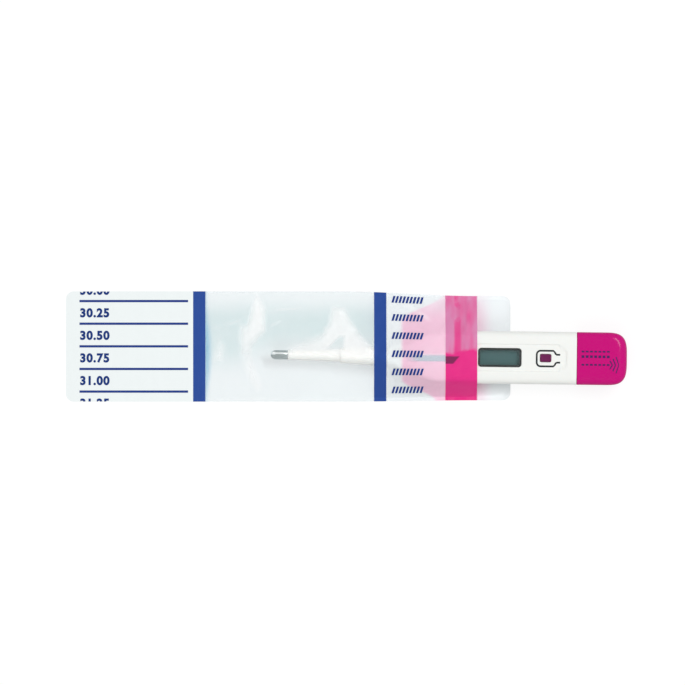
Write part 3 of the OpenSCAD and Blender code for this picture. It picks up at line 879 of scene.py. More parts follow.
@dataclass(frozen=True)
class Pen:
    """The thermometer's main sizes, its cross sections along its length, and its place in the shared frame."""

    length: float = 127.0
    width: float = 18.8
    height: float = 10.6
    square: float = 5.0
    under: float = 0.1
    axis: float = 5.0
    tip_d: float = 3.3
    tip_end: float = 6.1
    tip_nose: float = 1.9
    tip_wall: float = 0.2
    shoulder: float = 24.6
    shoulder_length: float = 0.35
    probe_d: float = 4.4
    neck_d: float = 5.4
    neck_end_d: float = 6.9
    neck_end: float = 37.1
    flare_end: float = 60.1
    joint: float = 109.0
    joint_gap: float = 0.1
    window: float = 81.6
    window_size: Span = (15.4, 6.7)
    window_radius: float = 1.1
    button: float = 97.9
    button_size: Span = (3.8, 2.7)
    button_radius: float = 0.4
    panel_floor: float = 10.25

    def shifted(self, station: np.ndarray, across: np.ndarray, height: np.ndarray) -> np.ndarray:
        """Puts places on the thermometer into the shared frame.

        Args:
            station: Stations.
            across: Places across, from the thermometer's middle.
            height: Heights.

        Returns:
            Points in millimetres of the shared frame.
        """
        low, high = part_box("sensor_tip")
        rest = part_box("housing")[0].z
        return np.stack(np.broadcast_arrays(station + low.x / MM, across + (low.y + high.y) / 2 / MM,
                                            height + rest / MM), -1)

    def neck(self, station: np.ndarray) -> np.ndarray:
        """Radius of the neck: a straight taper."""
        return between(self.neck_d, self.neck_end_d, (station - self.shoulder) / (self.neck_end - self.shoulder)) / 2

    def sections(self, station: np.ndarray) -> tuple[np.ndarray, np.ndarray, np.ndarray, np.ndarray]:
        """Cross sections of the outside.

        The slim probe is a taper about its axis. Past the shoulder the neck's circle turns into the body's
        superellipse over the flare, by an even ramp.

        Args:
            station: Stations.

        Returns:
            Half-width, lowest and highest point and squareness at each station.
        """
        ramp = smooth((station - self.neck_end) / (self.flare_end - self.neck_end))
        slim = between(self.tip_d, self.probe_d, (station - self.tip_end) / (self.shoulder - self.tip_end)) / 2
        radius = slim + (self.neck(station) - slim) * smooth((station - self.shoulder) / self.shoulder_length)
        return (between(radius, self.width / 2, ramp), between(self.axis - radius, -self.under, ramp),
                between(self.axis + radius, self.height, ramp), between(2.0, self.square, ramp))

    def top(self, station: np.ndarray, across: np.ndarray) -> np.ndarray:
        """Height of the upper side: middle plus half height times (1 - |y/a|^n)^(1/n); its middle past the side.

        Args:
            station: Stations.
            across: Places across.

        Returns:
            Heights.
        """
        half, low, high, square = self.sections(station)
        inside = np.clip(1 - np.abs(across / half) ** square, 0, None)
        return (low + high) / 2 + (high - low) / 2 * inside ** (1 / square)


@dataclass(frozen=True)
class Polar:
    """Rings of superellipses in polar form: radius = (|cos/a|^n + |sin/b|^n)^(-1/n) about their middle."""

    angles: np.ndarray

    @classmethod
    def for_body(cls, pen: Pen, panel_half: float, side: int) -> "Polar":
        """Angles that lie close where the sunk panel's edge runs along the body and where its corners turn.

        Args:
            pen: The thermometer's sizes.
            panel_half: Half the panel's width.
            side: Number of angles from a corner to the middle of a side.

        Returns:
            The rings' angles, once round.
        """
        across = np.concatenate([np.linspace(0, panel_half - 0.7, 7)[:-1],
                                 np.linspace(panel_half - 0.5, panel_half + 0.2, 11),
                                 np.linspace(panel_half + 0.5, 7.7, 8)])
        rise = (pen.height + pen.under) / 2 * (1 - (2 * across / pen.width) ** pen.square) ** (1 / pen.square)
        upper = np.arctan2(rise, across)
        quarter = np.concatenate([upper, np.linspace(upper[-1], 0, side)[1:]])
        return cls(np.concatenate([quarter[::-1][:-1], math.pi - quarter[:-1], math.pi + quarter[::-1][:-1],
                                   2 * math.pi - quarter[:-1]]))

    def rings(self, half: np.ndarray, low: np.ndarray, high: np.ndarray,
              square: np.ndarray | float) -> tuple[np.ndarray, np.ndarray]:
        """Makes rings.

        Args:
            half: Their half-widths.
            low: Their lowest points.
            high: Their highest points.
            square: Their squareness, 2 for an ellipse.

        Returns:
            Places across and heights, one row for each ring.
        """
        half, low, high, square = (np.atleast_1d(np.asarray(x, float))[:, None] for x in (half, low, high, square))
        cosine, sine = np.abs(np.cos(self.angles)), np.abs(np.sin(self.angles))
        radius = ((cosine / half) ** square + (sine / (high - low) * 2) ** square) ** (-1 / square)
        return radius * np.cos(self.angles), (low + high) / 2 + radius * np.sin(self.angles)

    def inset(self, room: tuple[float, float, float], square: float,
              inset: np.ndarray) -> tuple[np.ndarray, np.ndarray]:
        """Makes rings that lie inside one outline.

        Args:
            room: The outline's half-width and its lowest and highest point.
            square: Its squareness.
            inset: How far in each ring lies.

        Returns:
            Places across and heights, one row for each ring.
        """
        half, low, high = room
        return self.rings(half - inset, low + inset, high - inset, square)

    def joint_lip(self, pen: Pen) -> tuple[np.ndarray, np.ndarray]:
        """Places across and heights of the small round that the housing and the cap have at the joint."""
        return self.inset((pen.width / 2, -pen.under, pen.height), pen.square, JOINT_LIP[:, 1])


@dataclass(frozen=True)
class Plates:
    """Flat pieces with rounded corners in plan, built up from levels of inset and height."""

    pen: Pen
    least_radius: float = 0.12

    def skin(self, station: float, size: Span, radius: float, levels: Sequence[Span]) -> Skin:
        """Skins a plate over its levels.

        Args:
            station: Station of its middle.
            size: Its length and width.
            radius: Its corners' radius.
            levels: Inset from the outline, less than nothing for a flange, and height, in order.

        Returns:
            The closed plate.
        """
        rings = []
        for inset, height in levels:
            corner = max(self.least_radius, radius - inset)
            outline = rounded_outline(size[0] / 2 - inset, size[1] / 2 - inset, corner)
            rings.append(self.pen.shifted(station + outline[:, 0], outline[:, 1], np.full(len(outline), height)))
        return Skin.over_rings(np.array(rings), Ends.POLES)

    def window(self, levels: Sequence[Span]) -> Skin:
        """A plate with the window's outline."""
        return self.skin(self.pen.window, self.pen.window_size, self.pen.window_radius, levels)

    def key(self, levels: Sequence[Span]) -> Skin:
        """A plate with the key's outline."""
        return self.skin(self.pen.button, self.pen.button_size, self.pen.button_radius, levels)


@dataclass(frozen=True)
class Ribbon:
    """A line of print: a thin strip of ink of even width along a path."""

    width: float
    lift: float = 0.02
    sink: float = 0.02

    def skin(self, pen: Pen, path: np.ndarray, height: np.ndarray) -> Skin:
        """Carries a flat rectangle along a path; it turns with the path's direction in plan.

        Args:
            pen: The thermometer's sizes.
            path: Stations and places across.
            height: Height of the surface under each point and each side, as points by two.

        Returns:
            The closed strip.
        """
        heading = np.gradient(path, axis=0)
        heading /= np.linalg.norm(heading, axis=1, keepdims=True)
        side = np.stack([-heading[:, 1], heading[:, 0]], -1) * self.width / 2
        left, right = path + side, path - side
        corners = [(left, height[:, 0] - self.sink), (left, height[:, 0] + self.lift),
                   (right, height[:, 1] + self.lift), (right, height[:, 1] - self.sink)]
        return Skin.over_rings(np.stack([pen.shifted(p[:, 0], p[:, 1], h) for p, h in corners], 1), Ends.POLES)


@dataclass
class Housing:
    """The white moulding with body, flare, neck and probe tube, and the print on its face."""

    pen: Pen
    panel: Span = (66.9, 105.4)
    panel_half: float = 4.8
    panel_cut: Span = (2.9, 2.4)
    edge: float = 0.32
    cavity: tuple[float, float, float] = (7.9, 1.3, 8.95)
    cavity_start: float = 60.75
    funnel_r: float = 3.2
    bore_r: float = 0.9
    spigot: Span = (3.1, 1.42)
    tip_gap: float = 0.03
    ledge: float = 0.7
    ledge_height: float = 9.3
    gap: float = 0.1
    bevel: Span = (10.1, 10.32)
    bevel_width: float = 0.2
    cut_from: float = 6.0
    cut_to: float = 12.0
    sign: tuple[float, float, float, float] = (94.75, 101.4, -2.95, 2.6)
    sign_radius: float = 1.35
    sign_leads: Span = (1.22, -1.57)
    sign_end: float = 103.1
    sign_line: float = 0.64
    stripe: Span = (48.5, 66.0)
    stripe_middle: float = -0.6
    stripe_half: float = 1.3

    def sunk(self, station: np.ndarray, across: np.ndarray, height: np.ndarray) -> np.ndarray:
        """Presses the face panel in.

        The share pressed in is an even ramp over the distance inside the panel's outline, which is the least of
        the distances to its two ends, its two sides and its four cut corners.

        Args:
            station: Stations.
            across: Places across.
            height: Heights of the plain body.

        Returns:
            Heights with the panel.
        """
        side = self.panel_half - np.abs(across)
        ends = np.minimum(station - self.panel[0], self.panel[1] - station)
        along, deep = self.panel_cut
        corner = (ends * deep + (side - deep) * along) / math.hypot(along, deep)
        share = smooth(np.minimum(np.minimum(side, ends), corner) / self.edge + 0.5)
        pressed = height + share * (self.pen.panel_floor - height)
        return np.where(height > self.pen.axis, pressed, height)

    def build(self, polar: Polar, finish: bpy.types.Material) -> bpy.types.Object:
        """Skins the outside, the joint's face, the cavity and the bore as one surface, then cuts its openings.

        Args:
            polar: The rings' angles.
            finish: The material.

        Returns:
            The housing.
        """
        pen, front = self.pen, self.pen.tip_end + self.tip_gap
        outside = np.concatenate([
            np.linspace(front, pen.shoulder, 24)[:-1], np.linspace(pen.shoulder, pen.shoulder + 0.4, 7),
            np.linspace(pen.shoulder + 0.9, pen.neck_end, 16)[:-1], np.linspace(pen.neck_end, pen.flare_end, 62)[:-1],
            np.linspace(pen.flare_end, pen.joint - 0.3, 190)])
        across, height = polar.rings(*pen.sections(outside))
        height = np.maximum(self.sunk(outside[:, None], across, height), 0)
        lip_across, lip_height = polar.joint_lip(pen)
        inner = np.array([[pen.joint, -0.2], [pen.joint - 0.2, 0.0], [self.cavity_start + 1.2, 0.0],
                          [self.cavity_start, 0.5]])
        in_across, in_height = polar.inset(self.cavity, INNER_SQUARE, inner[:, 1])
        tube = np.array([[self.cavity_start, self.funnel_r], [pen.neck_end, self.bore_r],
                         [self.spigot[0], self.bore_r], self.spigot, [front, self.spigot[1]]])
        tube_across, tube_height = polar.rings(tube[:, 1], pen.axis - tube[:, 1], pen.axis + tube[:, 1], 2.0)
        stations = np.concatenate([outside, pen.joint - JOINT_LIP[:, 0], inner[:, 0], tube[:, 0]])
        rings = pen.shifted(stations[:, None], np.concatenate([across, lip_across, in_across, tube_across]),
                            np.concatenate([height, np.maximum(lip_height, 0), in_height, tube_height]))
        plates, wide = Plates(pen), self.gap + self.bevel_width
        seat = plates.window([(-self.gap, self.ledge_height), (-self.gap, self.cut_to)])
        hole = plates.window([(self.ledge, self.cut_from), (self.ledge, self.cut_to)])
        key_way = plates.key([(-self.gap, self.cut_from), (-self.gap, self.bevel[0]), (-wide, self.bevel[1]),
                              (-wide, self.cut_to)])
        mesh = cut_out(Skin.over_rings(rings, Ends.JOINED).mesh("housing_shell"), [seat, hole, key_way])
        return make_piece("housing_shell", mesh, Rider.HOUSING, finish, ["housing"])

    def print_button_sign(self, ink: bpy.types.Material) -> bpy.types.Object:
        """Draws the line round the button: a rounded square that is open towards the cap, with two leads.

        Args:
            ink: The print's material.

        Returns:
            The sign.
        """
        left, right, low, high = self.sign
        far, near = self.sign_leads
        turn = np.linspace(0, math.pi / 2, 7)
        by_sine, by_cosine = self.sign_radius * (1 - np.sin(turn)), self.sign_radius * (1 - np.cos(turn))
        path = np.concatenate([
            [[self.sign_end, far], [right + 0.5, far], [right, far + 0.35], [right - 0.05, high - 0.75],
             [right - 0.7, high]],
            np.stack([left + by_sine, high - by_cosine], -1),
            np.stack([left + by_cosine, low + by_sine], -1),
            [[right - 0.7, low], [right - 0.05, low + 0.75], [right, near - 0.35], [right + 0.5, near],
             [self.sign_end, near]],
        ])
        line = Ribbon(self.sign_line).skin(self.pen, path, np.full((len(path), 2), self.pen.panel_floor))
        return make_piece("button_sign", line, Rider.HOUSING, ink)

    def print_stripe(self, ink: bpy.types.Material) -> bpy.types.Object:
        """Draws a plain stripe along the flare, which shows through the film.

        Args:
            ink: The print's material.

        Returns:
            The stripe.
        """
        station = np.linspace(*self.stripe, 60)
        path = np.stack([station, np.full_like(station, self.stripe_middle)], -1)
        sides = self.stripe_middle + self.stripe_half, self.stripe_middle - self.stripe_half
        height = np.stack([self.pen.top(station, np.full_like(station, side)) for side in sides], -1)
        line = Ribbon(2 * self.stripe_half).skin(self.pen, path, height)
        return make_piece("flare_stripe", line, Rider.HOUSING, ink)


@dataclass
class Window:
    """The lens over the display."""

    pen: Pen
    thickness: float = 0.8

    def build(self, finish: bpy.types.Material) -> bpy.types.Object:
        """Makes the lens as a plate with a small round along its upper edge.

        Args:
            finish: The material.

        Returns:
            The lens.
        """
        top, low = self.pen.panel_floor, self.pen.panel_floor - self.thickness
        levels = [(0.05, low), (0.0, low + 0.05), (0.0, top - 0.14), (0.03, top - 0.05), (0.09, top - 0.01),
                  (0.16, top), (2.5, top)]
        lens = Plates(self.pen).window(levels)
        return make_piece("lens", lens, Rider.HOUSING, finish, ["window_lens"])


@dataclass
class Button:
    """The key, on a flange that is held under the housing's ceiling."""

    pen: Pen
    bottom: float = 8.25
    flange: float = 0.4
    lip: float = 0.7
    proud: float = 0.25

    def build(self, finish: bpy.types.Material) -> bpy.types.Object:
        """Makes the key with a rounded upper edge and a shallow dish in its top.

        Args:
            finish: The material.

        Returns:
            The key.
        """
        top, ceiling = self.pen.panel_floor + self.proud, self.bottom + self.flange
        levels = [(-self.lip, self.bottom), (-self.lip, ceiling), (0.0, ceiling), (0.0, top - 0.22),
                  (0.02, top - 0.12), (0.08, top - 0.04), (0.18, top), (0.4, top - 0.01), (0.8, top - 0.07),
                  (1.1, top - 0.1)]
        key = Plates(self.pen).key(levels)
        return make_piece("key", key, Rider.BUTTON, finish, ["power_button"])


@dataclass
class SensorTip:
    """The drawn metal tip on the end of the probe."""

    pen: Pen
    around: int = 56

    def build(self, finish: bpy.types.Material) -> bpy.types.Object:
        """Turns the tip's outline about the probe's axis: an elliptic nose, a straight wall, and the inside back.

        Args:
            finish: The material.

        Returns:
            The tip.
        """
        pen, end = self.pen, self.pen.tip_end
        turn = np.linspace(0.06, math.pi / 2, 14)
        outer, inner = pen.tip_d / 2, pen.tip_d / 2 - pen.tip_wall
        nose = np.stack([pen.tip_nose * (1 - np.cos(turn)), outer * np.sin(turn)], -1)
        hollow = np.stack([pen.tip_wall + pen.tip_nose * (1 - np.cos(turn)), inner * np.sin(turn)], -1)[::-1]
        wall = np.array([[pen.tip_nose + 1.6, outer], [end - 0.55, outer], [end - 0.45, outer - 0.04],
                         [end - 0.35, outer], [end - 0.06, outer], [end, outer - 0.06], [end, inner]])
        outline = np.concatenate([nose, wall, hollow])
        angle = np.linspace(0, 2 * math.pi, self.around, endpoint=False)
        rings = pen.shifted(outline[:, :1], outline[:, 1:] * np.cos(angle), pen.axis + outline[:, 1:] * np.sin(angle))
        return make_piece("metal_tip", Skin.over_rings(rings, Ends.POLES), Rider.HOUSING, finish,
                          ["sensor_tip"])


@dataclass
class SensorLeads:
    """The two enamelled leads from the sensor bead to the circuit board."""

    pen: Pen
    start: float = 2.68
    slack: Span = (48.6, 60.1)
    pad: Span = (62.95, 63.75)
    pad_height: float = 4.73
    half_gap: float = 0.25
    sway: float = 0.9
    radius: float = 0.15
    around: int = 12

    def lead(self, side: int) -> Skin:
        """Carries a circle along a lead: straight in the bore, a bell of slack in the funnel, then down to its pad.

        Args:
            side: Which of the two leads, -1 or 1.

        Returns:
            The closed lead.
        """
        start, end = self.slack
        station = np.concatenate([np.linspace(self.start, start, 31)[:-1], np.linspace(start, end, 41)[:-1],
                                  np.linspace(end, self.pad[0], 9)[:-1], np.linspace(*self.pad, 4)])[:, None]
        wave = np.clip((station - start) / (end - start), 0, 1)
        across = side * self.half_gap + self.sway * (1 - np.cos(2 * math.pi * wave)) / 2
        drop = smooth((station - end) / (self.pad[0] - end))
        angle = np.linspace(0, 2 * math.pi, self.around, endpoint=False)
        rings = self.pen.shifted(station, across + self.radius * np.cos(angle),
                                 between(self.pen.axis, self.pad_height, drop) + self.radius * np.sin(angle))
        return Skin.over_rings(rings, Ends.POLES)

    def build(self, finish: bpy.types.Material) -> bpy.types.Object:
        """Makes both leads as one piece, which rides on no body.

        Args:
            finish: The material.

        Returns:
            The leads.
        """
        both = Skin.joined([self.lead(side) for side in (-1, 1)])
        made = make_piece("leads", both, None, finish, ["lead_wires"], 60)
        start, end = (self.pen.shifted(x, 0.0, self.pen.axis) * MM for x in (self.pen.tip_end, self.pad[0]))
        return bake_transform(made)


@dataclass
class BatteryCap:
    """The magenta end that pushes into the housing, and the marks printed on it."""

    pen: Pen
    round_length: float = 8.5
    blunt: float = 3.6
    plug: tuple[float, float, float] = (7.8, 1.4, 8.85)
    plug_start: float = 104.0
    groove: tuple[float, float, float] = (106.0, 107.2, 0.5)
    wall: float = 1.0
    end_wall: float = 3.4
    dash_rows: tuple[Span, ...] = ((2.5, 0.6), (0.7, 0.9), (-2.2, 0.6))
    dash_span: Span = (110.7, 120.2)
    dash_pitch: float = 1.5
    dash_length: float = 1.0
    chevrons: tuple[Span, ...] = ((120.8, 1.5), (121.9, 2.2), (123.0, 2.9))
    chevron_row: float = -2.2
    chevron_point: float = 0.9
    chevron_line: float = 0.4

    @property
    def middle(self) -> float:
        """Height half way up the body."""
        return (self.pen.height - self.pen.under) / 2

    def share(self, station: np.ndarray) -> np.ndarray:
        """How far the cap still reaches at a station: (1 - t^b)^(1/b) over its round end."""
        t = np.clip((station - self.pen.length + self.round_length) / self.round_length, 0, 1)
        return (1 - t ** self.blunt) ** (1 / self.blunt)

    def top(self, station: np.ndarray, across: np.ndarray) -> np.ndarray:
        """Height of the cap's upper side.

        Args:
            station: Stations.
            across: Places across.

        Returns:
            Heights.
        """
        share = self.share(station)
        inside = np.clip(1 - np.abs(across / (share * self.pen.width / 2)) ** self.pen.square, 0, None)
        return self.middle + share * (self.pen.height - self.middle) * inside ** (1 / self.pen.square)

    def build(self, polar: Polar, finish: bpy.types.Material) -> bpy.types.Object:
        """Skins the cap from the middle of its end, over its outside, the plug with its groove and the hollow.

        Args:
            polar: The rings' angles.
            finish: The material.

        Returns:
            The cap.
        """
        pen, face, hollow_end = self.pen, self.pen.joint + self.pen.joint_gap, self.pen.length - self.end_wall
        turn = np.linspace(math.pi / 2, 0, 72)[1:]
        outside = np.concatenate([pen.length - self.round_length * (1 - np.sin(turn)),
                                  np.linspace(pen.length - self.round_length, pen.joint + 0.4, 24)[1:]])
        share = self.share(outside)
        over = polar.rings(share * pen.width / 2, self.middle - share * (self.middle + pen.under),
                           self.middle + share * (pen.height - self.middle), pen.square)
        start, end, deep = self.groove
        plug = np.array([[face, 0], [end, 0], [end, deep], [start, deep], [start, 0], [self.plug_start + 0.3, 0],
                         [self.plug_start, 0.25], [self.plug_start, self.wall], [hollow_end - 0.5, self.wall],
                         [hollow_end, self.wall + 0.5]])
        shaft = polar.inset(self.plug, INNER_SQUARE, plug[:, 1])
        stations = np.concatenate([outside, face + JOINT_LIP[:, 0], plug[:, 0]])
        across, height = (np.concatenate(rows) for rows in zip(over, polar.joint_lip(pen), shaft))
        rings = pen.shifted(stations[:, None], across, np.maximum(height, 0))
        return make_piece("cap_shell", Skin.over_rings(rings, Ends.POLES), Rider.CAP, finish,
                          ["battery_cap"])

    def print_marks(self, ink: bpy.types.Material) -> bpy.types.Object:
        """Prints rows of short dashes, and three chevrons that point the way the cap comes off.

        Args:
            ink: The print's material.

        Returns:
            The marks.
        """
        marks = []
        for row, width in self.dash_rows:
            for start in np.arange(*self.dash_span, self.dash_pitch):
                station = np.linspace(start, start + self.dash_length, 5)
                marks.append((Ribbon(width), np.stack([station, np.full_like(station, row)], -1)))
        bend = np.linspace(-1, 1, 9)
        for start, reach in self.chevrons:
            station = start + self.chevron_point * (1 - np.abs(bend))
            marks.append((Ribbon(self.chevron_line), np.stack([station, self.chevron_row + reach * bend], -1)))
        skins = [line.skin(self.pen, path, np.stack([self.top(*path.T)] * 2, -1)) for line, path in marks]
        return make_piece("cap_marks", Skin.joined(skins), Rider.CAP, ink)


@dataclass(frozen=True)
class Crease:
    """A fold in a film: a soft ridge from one place to another, along and up in millimetres of the flat film."""

    start: Span
    end: Span
    height: float
    width: float

    def lift(self, along: np.ndarray, up: np.ndarray) -> np.ndarray:
        """Height that the fold adds: a bell across it, which fades towards both of its ends.

        Args:
            along: Places along the film.
            up: Places up the film.

        Returns:
            Heights.
        """
        run = np.subtract(self.end, self.start)
        length = float(np.hypot(*run))
        t = ((along - self.start[0]) * run[0] + (up - self.start[1]) * run[1]) / length ** 2
        off = ((along - self.start[0]) * run[1] - (up - self.start[1]) * run[0]) / length
        return self.height * np.exp(-(off / self.width) ** 2) * smooth(t * 3 + 0.5) * smooth((1 - t) * 3 + 0.5)


@dataclass(frozen=True)
class Facet:
    """A part of a film that stands off as a facet: a convex patch, by its corners along and up, in order. Its milk is
    the white of a painted reflection, which takes the place of what lies under it; none leaves the patch clear.
    """

    corners: tuple[Span, ...]
    height: float
    milk_and_reflection: float
    soft: float = 1.6

    def share(self, along: np.ndarray, up: np.ndarray) -> np.ndarray:
        """How far a place lies inside: an even ramp over the least distance to the patch's sides.

        Args:
            along: Places along the film.
            up: Places up the film.

        Returns:
            Shares, 0 to 1.
        """
        spots = np.array(self.corners)
        runs = np.roll(spots, -1, 0) - spots
        turn = np.sign(np.sum(runs[:, 0] * np.roll(runs, -1, 0)[:, 1] - runs[:, 1] * np.roll(runs, -1, 0)[:, 0]))
        runs = runs / np.linalg.norm(runs, axis=1, keepdims=True)
        depth = [turn * (run[0] * (up - spot[1]) - run[1] * (along - spot[0])) for run, spot in zip(runs, spots)]
        return smooth(np.min(depth, axis=0) / self.soft + 0.35)


FOLDS = (
    Crease((49.5, 25.5), (66.0, 30.5), 0.16, 0.9),
    Crease((72.0, 32.4), (84.0, 33.2), 0.3, 0.5),
    Crease((72.0, 27.0), (77.0, 31.0), 0.34, 0.7),
    Crease((96.5, 32.5), (103.0, 24.0), 0.18, 1.6),
    Crease((103.0, 24.0), (109.5, 17.0), 0.18, 1.6),
    Crease((52.5, 14.0), (55.5, 24.0), 0.2, 1.6),
    Crease((62.0, 16.0), (70.5, 3.0), 0.2, 1.8),
    Crease((96.0, 12.0), (108.0, 4.5), 0.2, 1.8),
    Crease((139.6, 37.5), (139.2, 28.0), -0.3, 0.5),
    Crease((138.6, 25.0), (139.6, 16.0), -0.3, 0.6),
    Crease((143.5, 36.5), (142.5, 22.0), 0.25, 0.7),
    Crease((119.0, 37.0), (130.0, 30.0), 0.25, 1.2),
)
FACETS = (
    Facet(((52.5, 14.5), (56.5, 14.0), (57.0, 20.5), (54.5, 22.0)), 0.05, 0.36, 3.6),
    Facet(((57.4, 26.9), (62.6, 28.6), (62.6, 29.4), (57.6, 27.9)), 0.0, 0.22, 1.2),
    Facet(((63.0, 17.8), (66.2, 17.8), (68.6, 10.5), (70.4, 5.0), (68.0, 3.3), (65.0, 8.1), (63.4, 13.4)),
          0.05, 0.34, 4.2),
    Facet(((62.0, 27.6), (65.8, 27.7), (67.6, 21.5), (66.0, 17.0), (62.6, 16.6), (61.6, 23.0)), 0.06, 0.54, 4.2),
    Facet(((68.3, 38.6), (71.2, 33.2), (71.4, 25.2), (67.4, 21.2), (63.9, 21.6), (65.0, 28.9), (66.4, 34.2)),
          0.08, 0.75, 3.8),
    Facet(((71.6, 32.5), (92.0, 31.0), (95.0, 28.0), (86.0, 23.0), (74.0, 20.5), (71.6, 24.0)), 0.0, 0.0, 2.0),
    Facet(((75.2, 32.3), (83.8, 33.0), (83.8, 33.9), (75.2, 33.3)), 0.0, 0.22, 1.0),
    Facet(((73.0, 26.4), (76.9, 28.5), (77.0, 29.3), (73.2, 27.6)), 0.0, 0.26, 1.2),
    Facet(((90.0, 23.6), (96.0, 26.0), (96.0, 16.0), (79.5, 16.0), (79.5, 20.0)), 0.05, 0.45, 4.4),
    Facet(((95.0, 34.0), (99.4, 33.6), (104.0, 25.4), (98.0, 19.5), (93.0, 25.5)), 0.07, 0.66, 3.8),
    Facet(((92.5, 26.5), (103.2, 26.0), (110.0, 18.6), (110.0, 14.6), (96.5, 15.6), (91.0, 20.0)), 0.07, 0.66, 3.8),
    Facet(((92.6, 18.6), (97.6, 23.6), (99.6, 23.6), (99.4, 18.4)), 0.0, 0.06, 1.6),
    Facet(((98.8, 10.5), (108.5, 13.0), (108.5, 3.0)), 0.06, 0.0, 3.6),
)


@dataclass(frozen=True)
class NumberPrint:
    """Plain numbers for the record panel: each with the place of its base line, and the letters' sizes."""

    lines: tuple[tuple[str, float], ...] = (("30.00", 38.35), ("30.25", 30.3), ("30.50", 22.25), ("30.75", 14.2),
                                            ("31.00", 6.1), ("31.25", -1.95))
    start: float = 5.0
    size: float = 4.2
    spacing: float = 1.14
    bold: float = 0.2
    half_height: float = 0.015
    clearance: float = 0.001
    margin: float = 0.05

    def letters(self, number: str) -> bpy.types.Mesh:
        """Sets one number in plain type.

        Args:
            number: The number.

        Returns:
            Its mesh, from the start of its base line.
        """
        words = bpy.data.curves.new("number", "FONT")
        words.body, words.size, words.offset, words.extrude = number, self.size, self.bold, self.half_height
        words.space_character = self.spacing
        holder = bpy.data.objects.new("number", words)
        bpy.context.collection.objects.link(holder)
        made = bpy.data.meshes.new_from_object(holder.evaluated_get(bpy.context.evaluated_depsgraph_get()))
        bpy.data.objects.remove(holder)
        return made

    def mesh(self, size: Span, base: float) -> bpy.types.Mesh:
        """Sets all the numbers, and cuts off what passes the sheath's two edges.

        Args:
            size: The flat sheath's length and width.
            base: Height of the film's upper side.

        Returns:
            The numbers in places along and across the flat sheath.
        """
        work = bmesh.new()
        for number, up in self.lines:
            letters = self.letters(number)
            spot = [self.start - size[0] / 2, up - size[1] / 2, base + self.half_height + self.clearance]
            move_points(letters, lambda place: place + spot)
            work.from_mesh(letters)
        bmesh.ops.remove_doubles(work, verts=work.verts, dist=1e-5)
        for side in (1, -1):
            cut = bmesh.ops.bisect_plane(work, geom=[*work.verts, *work.edges, *work.faces], clear_outer=True,
                                         plane_co=(0, side * (size[1] / 2 - self.margin), 0), plane_no=(0, side, 0))
            bmesh.ops.edgenet_fill(work, edges=[e for e in cut["geom_cut"] if isinstance(e, bmesh.types.BMEdge)])
        made = bpy.data.meshes.new("record_numbers")
        work.to_mesh(made)
        work.free()
        return made


